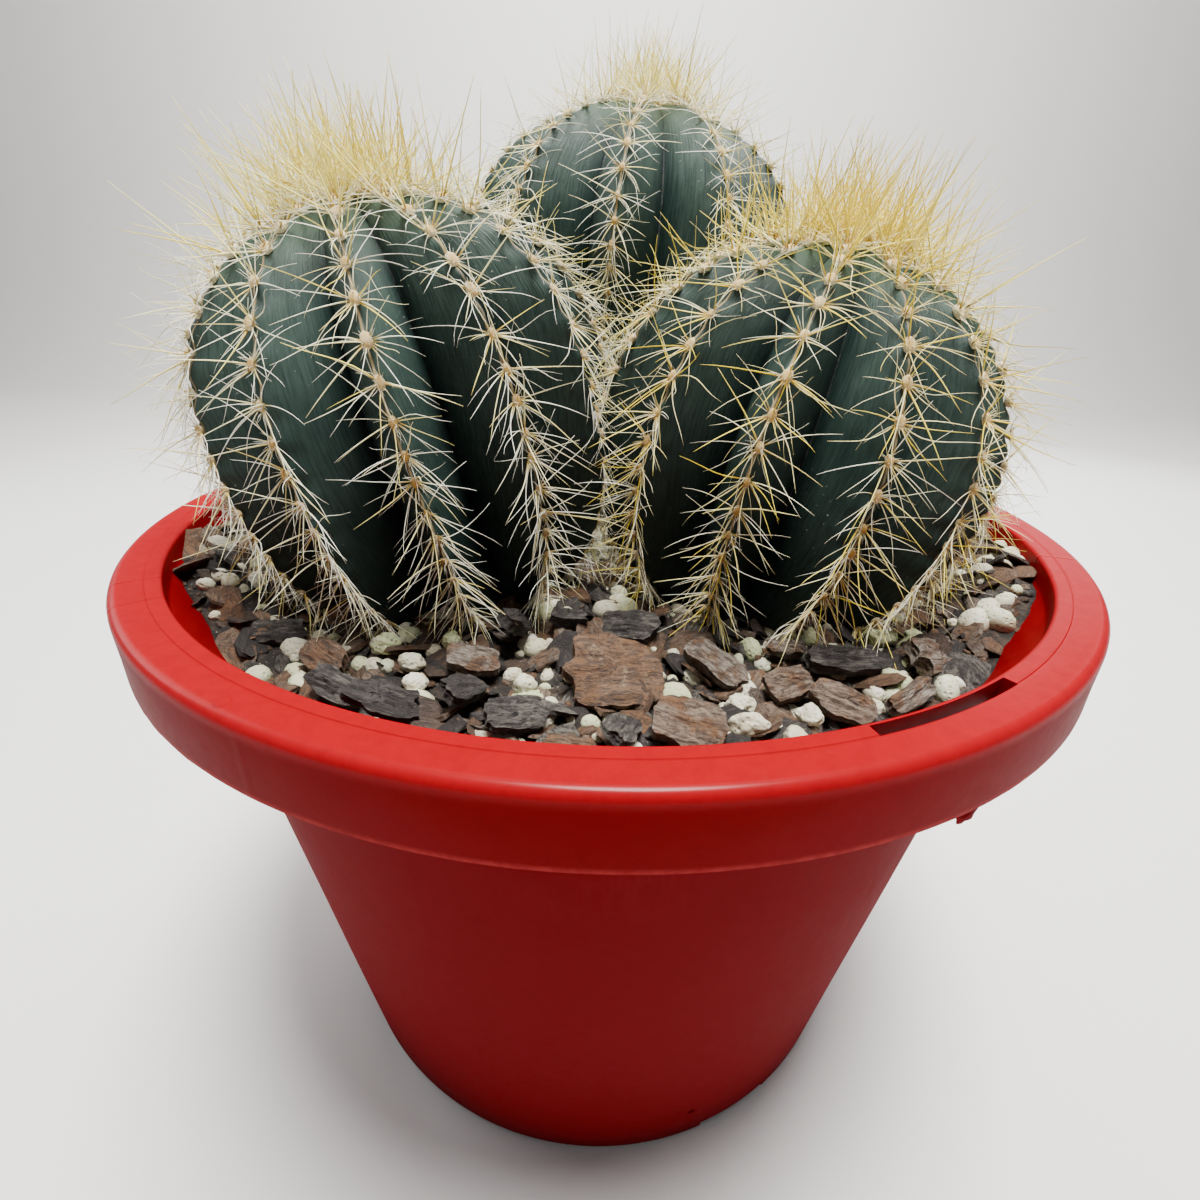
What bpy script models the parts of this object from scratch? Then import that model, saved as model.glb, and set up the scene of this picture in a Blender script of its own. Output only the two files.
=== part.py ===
"""Potted round cactus: three ribbed globes of one ball cactus in a plastic pot of bark and pumice mix.

Sizes are in millimetres and are turned into metres where an object is made.
The origin is the centre of the pot's underside, +Z is up and -Y is the front.
"""

import math
import random
from collections import namedtuple

import bmesh
import bpy
from mathutils import Matrix, Vector

MM = 0.001
GAP = 0.3

# Pot
RIM_RADIUS = 100.0
POT_HEIGHT = 134.3
BASE_RADIUS = 75.2
RIM_WIDTH = 7.7
SKIRT_HEIGHT = 11.2
SKIRT_FLARE = 0.2
RIM_THICKNESS = 2.0
RIM_ROUND = 1.6
WALL = 2.0
FLOOR = 2.4
COLLAR_SET_BACK = 2.8
COLLAR_DROP = 4.0
COLLAR_FLARE_HEIGHT = 6.0
POT_STEPS = 56

# Slot for a plant tag, beside the mouth
TAG_SLOT_LIP = 0.8
TAG_SLOT_WIDTH = 1.8
TAG_SLOT_DEPTH = 6.0
TAG_SLOT_FROM = -70.6
TAG_SLOT_TO = -55.3

# Drainage notches, round the foot of the wall
NOTCH_COUNT = 4
NOTCH_FIRST = -62.3
NOTCH_SPAN = 14.5
NOTCH_HEIGHT = 3.0
NOTCH_INSET = 8.0

# Potting mix
MIX_BELOW_RIM = 15.5
MIX_MOUND = 2.5
MIX_STEPS = 40

# Stems
GROWTH = 1.0
STEM_DEPTH_IN_MIX = 7.0
STEM_RINGS = 13
STEM_TOP = 0.97
CROWN_HOLLOW = 4.0
CREST_WIDTH = 2.4

# Wool and spines along each crest
WOOL_WIDTH = 3.0
WOOL_THICKNESS = 1.2
WOOL_ABOVE_MIX = 5.5
WOOL_CLEARANCE = 7.0
AREOLE_LENGTH = 3.0
AREOLES = 8
WOOL_TOP = 0.985
SIDE_SPINE = 15.0
CROWN_SPINE = 23.0
SPINE_CLEARANCE = 2.0
SPINE_ABOVE_RIM = 3.0

# Bark, pumice and twigs that lie on the mix
BARK_THICKNESS = 2.6
SCATTERED_BARK = 8
SCATTERED_BARK_LONG = 8.5
SCATTERED_BARK_SHORT = 5.0
SCATTERED_PUMICE = 3
SCATTERED_PUMICE_RADIUS = 2.4
SCATTERED_TWIGS = 2
TWIG_LENGTH = 13.0
TWIG_RADIUS = 0.6
SCATTER_SEED = 11
SCATTER_TRIES = 6000

# A bark flake: azimuth, distance of its middle from the wall, half length, half width and turn
Flake = namedtuple("Flake", "azimuth from_wall long wide turn")
FLAKES = (
    Flake(-89, 26.0, 9.0, 7.6, 10),
    Flake(-84, 40.0, 5.5, 3.3, 0),
    Flake(-71, 26.5, 6.5, 3.6, -35),
    Flake(-64, 18.0, 4.2, 3.3, 20),
    Flake(-80, 12.0, 5.8, 3.6, -15),
    Flake(-88, 11.5, 4.2, 2.8, 75),
    Flake(-53, 18.0, 7.8, 3.2, 10),
    Flake(-42, 8.0, 6.5, 5.0, 25),
    Flake(-60, 10.5, 5.2, 3.2, -20),
    Flake(-28, 7.5, 6.4, 4.6, 60),
    Flake(-57, 26.5, 3.4, 2.0, 0),
    Flake(-52, 6.0, 5.2, 2.2, 35),
    Flake(-140, 9.0, 5.4, 3.8, 20),
    Flake(-129, 12.0, 4.4, 3.4, -30),
    Flake(-113, 7.5, 5.8, 2.9, 15),
    Flake(-122, 8.0, 5.2, 2.9, -25),
    Flake(-108, 16.5, 4.4, 3.3, 60),
    Flake(-100, 13.5, 4.8, 3.2, 0),
    Flake(-109, 35.5, 4.0, 2.6, 75),
    Flake(-111, 25.5, 5.0, 3.3, 0),
    Flake(-93, 8.0, 3.6, 2.1, 0),
    Flake(-158, 8.5, 6.6, 3.2, 65),
    Flake(-99, 44.5, 3.8, 2.0, 15),
)

# A pumice grain: azimuth, distance of its middle from the wall, and radius
Grain = namedtuple("Grain", "azimuth from_wall radius")
GRAINS = (
    Grain(-72, 17.0, 2.6),
    Grain(-73, 11.5, 3.0),
    Grain(-73, 5.0, 2.2),
    Grain(-65, 11.0, 2.5),
    Grain(-69, 7.5, 2.2),
    Grain(-40, 18.0, 2.8),
    Grain(-36, 13.0, 2.9),
    Grain(-17, 5.5, 2.6),
    Grain(-35, 3.5, 2.8),
    Grain(-127, 22.0, 2.8),
    Grain(-120, 21.0, 2.6),
    Grain(-116, 17.0, 2.4),
    Grain(-119, 29.5, 2.2),
    Grain(-151, 2.5, 2.8),
    Grain(-101, 22.0, 2.2),
)

# One globe, at a growth of 1. foot_x, foot_y: where its axis meets the level of the stems' undersides.
# lean_x, lean_y: how far the axis leans for each unit of height. belly: share of the height of
# the widest place. first_rib: azimuth of one rib, in degrees. low, high and blunt: exponents of
# the outline below the belly, above it, and of both.
Globe = namedtuple(
    "Globe",
    "name foot_x foot_y lean_x lean_y height radius ribs rib_depth first_rib belly low high blunt",
)
YOUNG_GLOBES = (
    Globe("left", -30.6, -11.5, -0.211, -0.1, 83.7, 39.9, 13, 14.0, -76.7, 0.525, 2.5, 2.5, 2.1),
    Globe("right", 29.3, -12.1, 0.192, -0.062, 78.1, 40.4, 13, 14.5, -112.3, 0.496, 2.15, 2.15, 2.05),
    Globe("rear", -1.3, 50.0, 0.088, 0.027, 112.9, 45.7, 11, 16.4, -98.0, 0.68, 1.5, 2.1, 1.95),
)

GLOBES = tuple(
    globe._replace(
        foot_x=globe.foot_x * GROWTH,
        foot_y=globe.foot_y * GROWTH,
        height=globe.height * GROWTH,
        radius=globe.radius * GROWTH,
        rib_depth=globe.rib_depth * GROWTH,
    )
    for globe in YOUNG_GLOBES
)

MIX_TOP = POT_HEIGHT - MIX_BELOW_RIM
STEM_FOOT = MIX_TOP - STEM_DEPTH_IN_MIX
MOUTH_RADIUS = RIM_RADIUS - RIM_WIDTH
BODY_TOP = POT_HEIGHT - SKIRT_HEIGHT
BODY_TOP_RADIUS = MOUTH_RADIUS - COLLAR_SET_BACK
COLLAR_TOP = POT_HEIGHT - COLLAR_DROP
COLLAR_FOOT = COLLAR_TOP - COLLAR_FLARE_HEIGHT

PARTS_COLLECTION = "potted_round_cactus"
CUTTERS_COLLECTION = "cutters"


def clear_scene():
    for obj in list(bpy.data.objects):
        bpy.data.objects.remove(obj, do_unlink=True)
    for name in (PARTS_COLLECTION, CUTTERS_COLLECTION):
        bpy.context.scene.collection.children.link(bpy.data.collections.new(name))


def make_material(name, color, roughness, metallic=0.0):
    material = bpy.data.materials.new(name)
    material.use_nodes = True
    shader = material.node_tree.nodes["Principled BSDF"]
    shader.inputs["Base Color"].default_value = (*color, 1.0)
    shader.inputs["Roughness"].default_value = roughness
    shader.inputs["Metallic"].default_value = metallic
    material.diffuse_color = (*color, 1.0)
    return material


def add_object(name, data, material=None):
    """Link an object: a part where it has a material, and otherwise a hidden cutter."""
    obj = bpy.data.objects.new(name, data)
    if material is None:
        bpy.data.collections[CUTTERS_COLLECTION].objects.link(obj)
        obj.hide_render = True
        obj.display_type = "WIRE"
        return obj
    bpy.data.collections[PARTS_COLLECTION].objects.link(obj)
    obj.data.materials.append(material)
    return obj


def mesh_from_bmesh(name, bm):
    mesh = bpy.data.meshes.new(name)
    bm.to_mesh(mesh)
    bm.free()
    return mesh


def shade(obj, angle_deg):
    obj.data.shade_smooth()
    obj.data.set_sharp_from_angle(angle=math.radians(angle_deg))


def turned(name, profile, steps, material=None):
    """Turn a profile of (radius, height) points about Z. It runs down its outer side."""
    bm = bmesh.new()
    points = [bm.verts.new((radius * MM, 0.0, height * MM)) for radius, height in profile]
    for first, second in zip(points, points[1:]):
        bm.edges.new((first, second))
    obj = add_object(name, mesh_from_bmesh(name, bm), material)
    screw = obj.modifiers.new("turn", "SCREW")
    screw.axis = "Z"
    screw.steps = steps
    screw.render_steps = steps
    screw.use_merge_vertices = True
    screw.merge_threshold = 0.0001
    return obj


def cut(obj, cutter):
    boolean = obj.modifiers.new("cut " + cutter.name, "BOOLEAN")
    boolean.operation = "DIFFERENCE"
    boolean.solver = "EXACT"
    boolean.object = cutter


def as_mesh_object(curve_object, material=None):
    """Replace a curve object by its mesh, with the loose caps welded on."""
    graph = bpy.context.evaluated_depsgraph_get()
    mesh = bpy.data.meshes.new_from_object(curve_object.evaluated_get(graph))
    name = curve_object.name
    matrix = curve_object.matrix_world.copy()
    bpy.data.objects.remove(curve_object, do_unlink=True)
    bm = bmesh.new()
    bm.from_mesh(mesh)
    bmesh.ops.remove_doubles(bm, verts=bm.verts, dist=1e-6)
    bmesh.ops.recalc_face_normals(bm, faces=bm.faces)
    bm.to_mesh(mesh)
    bm.free()
    mesh.materials.clear()
    obj = add_object(name, mesh, material)
    obj.matrix_world = matrix
    return obj


def arc(radius, start, end, steps):
    turns = [math.radians(start + (end - start) * step / steps) for step in range(steps + 1)]
    return [(radius * math.cos(turn), radius * math.sin(turn)) for turn in turns]


def sector_cutter(name, inner, outer, start, end, bottom, top):
    """A block between two radii, two azimuths in degrees and two heights."""
    outline = arc(outer, start, end, 6) + arc(inner, end, start, 6)
    curve = bpy.data.curves.new(name, "CURVE")
    curve.dimensions = "2D"
    curve.fill_mode = "BOTH"
    curve.extrude = (top - bottom) / 2 * MM
    spline = curve.splines.new("POLY")
    spline.points.add(len(outline) - 1)
    for point, (x, y) in zip(spline.points, outline):
        point.co = (x * MM, y * MM, 0.0, 1.0)
    spline.use_cyclic_u = True
    obj = add_object(name, curve)
    obj.location.z = (top + bottom) / 2 * MM
    bpy.context.view_layer.update()
    return as_mesh_object(obj)


# Pot


def body_radius(height):
    """Outer radius of the tapered wall."""
    return BASE_RADIUS + (BODY_TOP_RADIUS - BASE_RADIUS) * height / BODY_TOP


def inner_radius(height):
    """Inner radius of the wall, with the flared collar under the mouth."""
    if height <= COLLAR_FOOT:
        return body_radius(height) - WALL
    foot = body_radius(COLLAR_FOOT) - WALL
    rise = min((height - COLLAR_FOOT) / COLLAR_FLARE_HEIGHT, 1.0)
    return foot + (MOUTH_RADIUS - foot) * rise


def pot_profile():
    skirt_foot = RIM_RADIUS + SKIRT_FLARE
    under_rim = POT_HEIGHT - RIM_THICKNESS
    return [
        (0.0, FLOOR),
        (inner_radius(FLOOR), FLOOR),
        (inner_radius(COLLAR_FOOT), COLLAR_FOOT),
        (MOUTH_RADIUS, COLLAR_TOP),
        (MOUTH_RADIUS, POT_HEIGHT - RIM_ROUND / 3),
        (MOUTH_RADIUS + RIM_ROUND / 3, POT_HEIGHT),
        (RIM_RADIUS - RIM_ROUND, POT_HEIGHT),
        (RIM_RADIUS - RIM_ROUND * 0.3, POT_HEIGHT - RIM_ROUND * 0.3),
        (RIM_RADIUS, POT_HEIGHT - RIM_ROUND),
        (skirt_foot, BODY_TOP),
        (skirt_foot - RIM_THICKNESS, BODY_TOP),
        (RIM_RADIUS - RIM_THICKNESS, under_rim),
        (MOUTH_RADIUS + WALL, under_rim),
        (MOUTH_RADIUS + WALL, COLLAR_TOP),
        (body_radius(COLLAR_FOOT), COLLAR_FOOT),
        (BASE_RADIUS, 0.0),
        (0.0, 0.0),
    ]


def make_pot(material):
    pot = turned("pot", pot_profile(), POT_STEPS, material)
    slot_inner = MOUTH_RADIUS + TAG_SLOT_LIP
    slot = sector_cutter(
        "tag_slot_cutter",
        slot_inner,
        slot_inner + TAG_SLOT_WIDTH,
        TAG_SLOT_FROM,
        TAG_SLOT_TO,
        POT_HEIGHT - TAG_SLOT_DEPTH,
        POT_HEIGHT + 1.0,
    )
    cut(pot, slot)
    for index in range(NOTCH_COUNT):
        middle = NOTCH_FIRST + 360.0 / NOTCH_COUNT * index
        notch = sector_cutter(
            f"drain_notch_cutter_{index + 1}",
            BASE_RADIUS - NOTCH_INSET,
            BASE_RADIUS + NOTCH_INSET,
            middle - NOTCH_SPAN / 2,
            middle + NOTCH_SPAN / 2,
            -1.0,
            NOTCH_HEIGHT,
        )
        cut(pot, notch)
    shade(pot, 35)
    return pot


# Stems


def globe_frame(globe):
    """Foot of the axis, two directions square to it and the axis itself."""
    axis = Vector((globe.lean_x, globe.lean_y, 1.0)).normalized()
    side = Vector((0.0, 1.0, 0.0)).cross(axis).normalized()
    return Vector((globe.foot_x, globe.foot_y, STEM_FOOT)), side, axis.cross(side), axis


def crest_radius(globe, share):
    """Distance of a rib's crest from the axis, at a share of the globe's height."""
    if share < globe.belly:
        away = (globe.belly - share) / globe.belly
        power = globe.low
    else:
        away = (share - globe.belly) / (1.0 - globe.belly)
        power = globe.high
    return globe.radius * max(1.0 - min(away, 1.0) ** power, 0.0) ** (1.0 / globe.blunt)


def valley_radius(globe, share):
    """The same for the groove between two ribs, which runs out at the foot."""
    crest = crest_radius(globe, share)
    return crest - globe.rib_depth * crest / globe.radius * min(share / 0.25, 1.0)


def globe_point(globe, share, angle, radius):
    """Point at a share of the height, an angle about the axis and a distance from it."""
    foot, side, across, axis = globe_frame(globe)
    out = math.cos(angle) * side + math.sin(angle) * across
    return foot + axis * (share * globe.height) + out * radius


def rib_angle(globe, rib):
    return math.radians(globe.first_rib) + math.tau * rib / globe.ribs


def crest_point(globe, share, rib):
    return globe_point(globe, share, rib_angle(globe, rib), crest_radius(globe, share))


def share_at_height(globe, height):
    """Share of the globe's height at which its axis stands at this height."""
    axis = globe_frame(globe)[3]
    return (height - STEM_FOOT) / (globe.height * axis.z)


def even_shares(globe, start, end, count):
    """Shares of the height that space points evenly along a crest."""
    fine = [start + (end - start) * step / 400 for step in range(401)]
    points = [Vector((crest_radius(globe, share), share * globe.height)) for share in fine]
    lengths = [0.0]
    for first, second in zip(points, points[1:]):
        lengths.append(lengths[-1] + (second - first).length)
    shares = []
    for step in range(count):
        wanted = lengths[-1] * step / (count - 1)
        index = next(i for i, length in enumerate(lengths) if length >= wanted - 1e-9)
        shares.append(fine[index])
    return shares


def add_loft(bm, rings):
    """Join closed rings of points by faces, from the lowest up, and return their vertices."""
    rows = [[bm.verts.new(point * MM) for point in ring] for ring in rings]
    for lower, upper in zip(rows, rows[1:]):
        for index in range(len(lower)):
            after = (index + 1) % len(lower)
            bm.faces.new((lower[index], lower[after], upper[after], upper[index]))
    return rows


def rib_section(globe, share):
    """Outline square to the axis: for each rib a narrow flat crest, a flank, a groove and a flank."""
    crest = crest_radius(globe, share)
    valley = valley_radius(globe, share)
    half_pitch = math.pi / globe.ribs
    edge = min(CREST_WIDTH / 2 / max(crest, 1e-6), half_pitch * 0.3)
    flank = valley + (crest - valley) * 0.56
    points = []
    for rib in range(globe.ribs):
        middle = rib_angle(globe, rib)
        points.append(globe_point(globe, share, middle - edge, crest))
        points.append(globe_point(globe, share, middle + edge, crest))
        points.append(globe_point(globe, share, middle + half_pitch * 0.62, flank))
        points.append(globe_point(globe, share, middle + half_pitch, valley))
        points.append(globe_point(globe, share, middle + half_pitch * 1.38, flank))
    return points


def make_stem(globe, material):
    shares = even_shares(globe, 0.0, STEM_TOP, STEM_RINGS)
    shares[0] = 0.02
    bm = bmesh.new()
    rows = add_loft(bm, [rib_section(globe, share) for share in shares])
    for row, share, reverse in ((rows[0], shares[0], True), (rows[-1], shares[-1], False)):
        drop = 0.0 if reverse else CROWN_HOLLOW / globe.height
        middle = bm.verts.new(globe_point(globe, share - drop, 0.0, 0.0) * MM)
        for index in range(len(row)):
            pair = (row[index], row[(index + 1) % len(row)])
            bm.faces.new((middle, *reversed(pair)) if reverse else (middle, *pair))
    name = globe.name + "_stem"
    stem = add_object(name, mesh_from_bmesh(name, bm), material)
    shade(stem, 30)
    return stem


# Potting mix


def mix_height(radius):
    """Level of the mix, mounded slightly towards the middle of the pot."""
    share = min(radius / inner_radius(MIX_TOP), 1.0)
    return MIX_TOP + MIX_MOUND * (1.0 - share**2)


def make_mix(material):
    """The mix fills the pot inside and has a socket round the foot of each stem."""
    edge = inner_radius(MIX_TOP) - GAP
    radii = [edge * step / 4 for step in range(5)]
    top = [(radius, mix_height(radius)) for radius in radii]
    side = [(inner_radius(FLOOR + GAP) - GAP, FLOOR + GAP), (0.0, FLOOR + GAP)]
    mix = turned("potting_mix", top + side, MIX_STEPS, material)
    for globe in GLOBES:
        cut(mix, make_socket_cutter(globe))
    shade(mix, 30)
    return mix


def make_socket_cutter(globe):
    """Outer shape of the stem's foot with a gap round it, carried on up above the mix."""
    top = share_at_height(globe, MIX_TOP + MIX_MOUND + 8.0)
    count = 7
    shares = [0.02 + (top - 0.02) * step / (count - 1) for step in range(count)]
    name = globe.name + "_socket_cutter"
    bm = bmesh.new()
    rings = []
    for share in shares:
        radius = crest_radius(globe, share) + 3 * GAP
        turns = [math.tau * step / 32 for step in range(32)]
        rings.append([globe_point(globe, share, turn, radius) for turn in turns])
    axis = globe_frame(globe)[3]
    rings[0] = [point - axis * 2 * GAP for point in rings[0]]
    rows = add_loft(bm, rings)
    bm.faces.new(list(reversed(rows[0])))
    bm.faces.new(rows[-1])
    return add_object(name, mesh_from_bmesh(name, bm))


# Wool and spines


def reach(globe, point):
    """How far out a point lies, as a multiple of the globe's crest radius at its level."""
    foot, _, _, axis = globe_frame(globe)
    along = (point - foot).dot(axis)
    share = min(max(along / globe.height, 0.0), 1.0)
    away = (point - foot - axis * along).length
    beyond = max(along - globe.height, 0.0)
    return (math.hypot(away, beyond) + 1e-6) / max(crest_radius(globe, share), 0.35 * globe.radius)


def spine_is_free(globe, root, tip):
    """Whether a spine keeps to its own globe's side, and stays off the others and the rim."""
    for step in range(1, 7):
        point = root + (tip - root) * step / 6
        from_middle = math.hypot(point.x, point.y)
        if point.z < POT_HEIGHT + SPINE_ABOVE_RIM and (step > 1 or from_middle > MOUTH_RADIUS - 3.0):
            return False
        own = reach(globe, point)
        for other in GLOBES:
            if other is globe:
                continue
            apart = reach(other, point)
            if apart < 1.0 + SPINE_CLEARANCE / other.radius or apart < own + 0.03:
                return False
    return True


def skin_distance(globe, point):
    """How far a point lies outside the globe's ribbed skin, measured square to its axis."""
    foot, side, across, axis = globe_frame(globe)
    offset = point - foot
    share = offset.dot(axis) / globe.height
    if not 0.0 < share < 1.0:
        return globe.radius
    angle = math.atan2(offset.dot(across), offset.dot(side)) - rib_angle(globe, 0)
    from_crest = abs((angle * globe.ribs / math.tau + 0.5) % 1.0 - 0.5) * 2.0
    crest = crest_radius(globe, share)
    skin = crest + (valley_radius(globe, share) - crest) * from_crest
    return (offset - axis * offset.dot(axis)).length - skin


def wool_start(globe, rib):
    """Share of the height above which a rib's crest is clear of the mix and the other globes."""
    level = MIX_TOP + MIX_MOUND + WOOL_ABOVE_MIX
    start = 0.0
    for step in range(int(WOOL_TOP * 200)):
        point = crest_point(globe, step / 200, rib)
        others = [skin_distance(other, point) for other in GLOBES if other is not globe]
        if point.z < level or min(others) < WOOL_CLEARANCE:
            start = (step + 1) / 200
    return start


def wool_rows(globe, rib):
    """Shares of the height at the ends of each areole, from the lowest areole to the crown."""
    start = wool_start(globe, rib)
    middles = even_shares(globe, start, WOOL_TOP, AREOLES + 1)
    rows = []
    for middle, above in zip(middles, middles[1:]):
        rise = (above - middle) * globe.height
        run = crest_radius(globe, above) - crest_radius(globe, middle)
        length = math.hypot(rise, run)
        rows.append((middle, middle + (above - middle) * AREOLE_LENGTH / length))
    return rows


def crest_edge(globe, share, rib, side_sign):
    """Point on one edge of the wool, just off the crest of a rib."""
    half = min(WOOL_WIDTH / 2, crest_radius(globe, share) * math.pi / globe.ribs * 0.8)
    angle = rib_angle(globe, rib)
    out = globe_point(globe, share, angle, 1.0) - globe_point(globe, share, angle, 0.0)
    along = globe_frame(globe)[3].cross(out)
    rise = crest_point(globe, share + 0.01, rib) - crest_point(globe, share - 0.01, rib)
    away = along.cross(rise).normalized()
    return crest_point(globe, share, rib) + along * (half * side_sign) + away * 2 * GAP


def make_spines(globe, material):
    """Wool along every crest, joined at the crown, with the spines drawn out of its areoles.

    The wool starts as an open surface that is given its thickness by Solidify. Each areole's
    face is then drawn out to a point.
    """
    bm = bmesh.new()
    crown = []
    for rib in range(globe.ribs):
        before = None
        for low, high in wool_rows(globe, rib) + [(WOOL_TOP, None)]:
            for share in (low, high):
                if share is None:
                    continue
                pair = [bm.verts.new(crest_edge(globe, share, rib, sign) * MM) for sign in (-1, 1)]
                if before:
                    face = bm.faces.new((before[0], before[1], pair[1], pair[0]))
                    if share == high:
                        face.material_index = 1
                before = pair
        crown += before
    lid = bm.faces.new(crown)
    middle = bmesh.ops.poke(bm, faces=[lid])["verts"][0]
    for face in middle.link_faces:
        rim = [vertex for vertex in face.verts if vertex is not middle]
        if abs(crown.index(rim[0]) - crown.index(rim[1])) == 1 and min(map(crown.index, rim)) % 2 == 0:
            face.material_index = 1
    name = globe.name + "_spines"
    obj = add_object(name, mesh_from_bmesh(name, bm), material)
    solid = obj.modifiers.new("thickness", "SOLIDIFY")
    solid.thickness = WOOL_THICKNESS * MM
    solid.offset = 1.0
    graph = bpy.context.evaluated_depsgraph_get()
    thick = bpy.data.meshes.new_from_object(obj.evaluated_get(graph))
    obj.modifiers.clear()
    obj.data = draw_out_spines(globe, thick)
    return obj


def draw_out_spines(globe, mesh):
    """Raise a spine from the outer face of each areole that has room for one."""
    foot, _, _, axis = globe_frame(globe)
    bm = bmesh.new()
    bm.from_mesh(mesh)
    for face in list(bm.faces):
        if face.material_index != 1:
            continue
        root = face.calc_center_median() / MM
        normal = face.normal.copy()
        along = (root - foot).dot(axis)
        outward = (root - foot - axis * along).normalized()
        if normal.dot(outward + axis) < 0.5:
            continue
        share = along / globe.height
        length = SIDE_SPINE + (CROWN_SPINE - SIDE_SPINE) * max(share - 0.5, 0.0) / 0.5
        tip = root + (normal + axis * 0.35 * share).normalized() * length
        if spine_is_free(globe, root, tip):
            poked = bmesh.ops.poke(bm, faces=[face])
            poked["verts"][0].co = tip * MM
    for face in bm.faces:
        face.material_index = 0
    bmesh.ops.triangulate(bm, faces=[face for face in bm.faces if len(face.verts) > 4])
    bm.to_mesh(mesh)
    bm.free()
    return mesh


# Bark, pumice and twigs


def lowest_gap(obj):
    """Least height of an object's points above the mix."""
    heights = []
    for vertex in obj.data.vertices:
        point = obj.matrix_basis @ vertex.co / MM
        heights.append(point.z - mix_height(math.hypot(point.x, point.y)))
    return min(heights)


def place_on_mix(piece):
    """Position on the mix of a piece that is given by its azimuth and distance from the wall."""
    reach_out = inner_radius(MIX_TOP) - piece.from_wall
    turn = math.radians(piece.azimuth)
    return reach_out * math.cos(turn), reach_out * math.sin(turn)


def lay_on_mix(obj, x, y, turn):
    obj.matrix_basis = Matrix.Translation((x * MM, y * MM, 0.0)) @ turn
    obj.location.z = (GAP - lowest_gap(obj)) * MM


def room_at(x, y, radius, laid):
    """Whether a piece of this radius fits between the stems, the wall and what already lies there."""
    level = MIX_TOP + MIX_MOUND + BARK_THICKNESS * 2.5
    if math.hypot(x, y) + radius > inner_radius(MIX_TOP) - 2 * GAP:
        return False
    for globe in GLOBES:
        share = share_at_height(globe, level)
        centre = globe_point(globe, share, 0.0, 0.0)
        free = crest_radius(globe, share) + WOOL_THICKNESS + 2.0
        if math.hypot(x - centre.x, y - centre.y) < free + radius:
            return False
    return all(math.hypot(x - a, y - b) > radius + other + GAP for a, b, other in laid)


def find_place(rng, radius, laid):
    """Azimuth and distance from the wall of a free place on the mix for a piece of this radius."""
    limit = inner_radius(MIX_TOP)
    for _ in range(SCATTER_TRIES):
        x = rng.uniform(-limit, limit)
        y = rng.uniform(-limit, limit)
        if room_at(x, y, radius, laid):
            laid.append((x, y, radius))
            return math.degrees(math.atan2(y, x)), limit - math.hypot(x, y)
    raise ValueError(f"no room on the mix for a piece of radius {radius:.1f} mm")


def make_bark(name, rng, flake, material):
    """A flat, broken flake with an uneven outline."""
    bm = bmesh.new()
    bmesh.ops.create_cone(bm, cap_ends=True, segments=7, radius1=1.0, radius2=0.82, depth=1.0)
    thickness = BARK_THICKNESS * rng.uniform(0.7, 1.25)
    factors = [rng.uniform(0.84, 1.0) for _ in range(7)]
    bend = rng.uniform(-0.3, 0.3)
    for vertex in bm.verts:
        sector = int(round(math.atan2(vertex.co.y, vertex.co.x) / math.tau * 7)) % 7
        along = vertex.co.x * factors[sector] * flake.long
        across = vertex.co.y * factors[sector] * flake.wide
        lift = thickness * (vertex.co.z + bend * vertex.co.x**2)
        vertex.co = Vector((along, across, lift)) * MM
    obj = add_object(name, mesh_from_bmesh(name, bm), material)
    tilt = Matrix.Rotation(math.radians(rng.uniform(-9, 9)), 4, "X")
    tilt = tilt @ Matrix.Rotation(math.radians(rng.uniform(-6, 6)), 4, "Y")
    lay_on_mix(obj, *place_on_mix(flake), tilt @ Matrix.Rotation(math.radians(flake.turn), 4, "Z"))
    return obj


def make_pumice(name, rng, grain, material):
    """A rounded, uneven grain."""
    bm = bmesh.new()
    bmesh.ops.create_icosphere(bm, subdivisions=1, radius=1.0)
    stretch = Vector((1.0, rng.uniform(0.7, 0.95), rng.uniform(0.6, 0.85)))
    for vertex in bm.verts:
        factor = grain.radius * rng.uniform(0.86, 1.0) * MM
        vertex.co = Vector([value * scale * factor for value, scale in zip(vertex.co, stretch)])
    obj = add_object(name, mesh_from_bmesh(name, bm), material)
    lay_on_mix(obj, *place_on_mix(grain), Matrix.Rotation(rng.uniform(0, math.tau), 4, "Z"))
    return obj


def make_twig(name, rng, x, y, material):
    """A thin dry twig, slightly bowed."""
    curve = bpy.data.curves.new(name, "CURVE")
    curve.dimensions = "3D"
    curve.bevel_depth = TWIG_RADIUS * MM
    curve.bevel_resolution = 1
    curve.use_fill_caps = True
    spline = curve.splines.new("POLY")
    spline.points.add(4)
    for step, point in enumerate(spline.points):
        along = step / 4 - 0.5
        point.co = (along * TWIG_LENGTH * MM, along**2 * 2.5 * MM, 0.0, 1.0)
    obj = add_object(name, curve, material)
    bpy.context.view_layer.update()
    obj = as_mesh_object(obj, material)
    lay_on_mix(obj, x, y, Matrix.Rotation(rng.uniform(0, math.tau), 4, "Z"))
    return obj


def scattered_flakes(rng, laid):
    """Flakes over the rest of the mix, the largest first so that the small ones find the gaps."""
    flakes = []
    for index in range(SCATTERED_BARK):
        share = index / (SCATTERED_BARK - 1)
        long = SCATTERED_BARK_LONG + (SCATTERED_BARK_SHORT - SCATTERED_BARK_LONG) * share
        azimuth, from_wall = find_place(rng, long, laid)
        wide = long * rng.uniform(0.55, 0.8)
        flakes.append(Flake(azimuth, from_wall, long, wide, rng.uniform(0, 360)))
    return flakes


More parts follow.
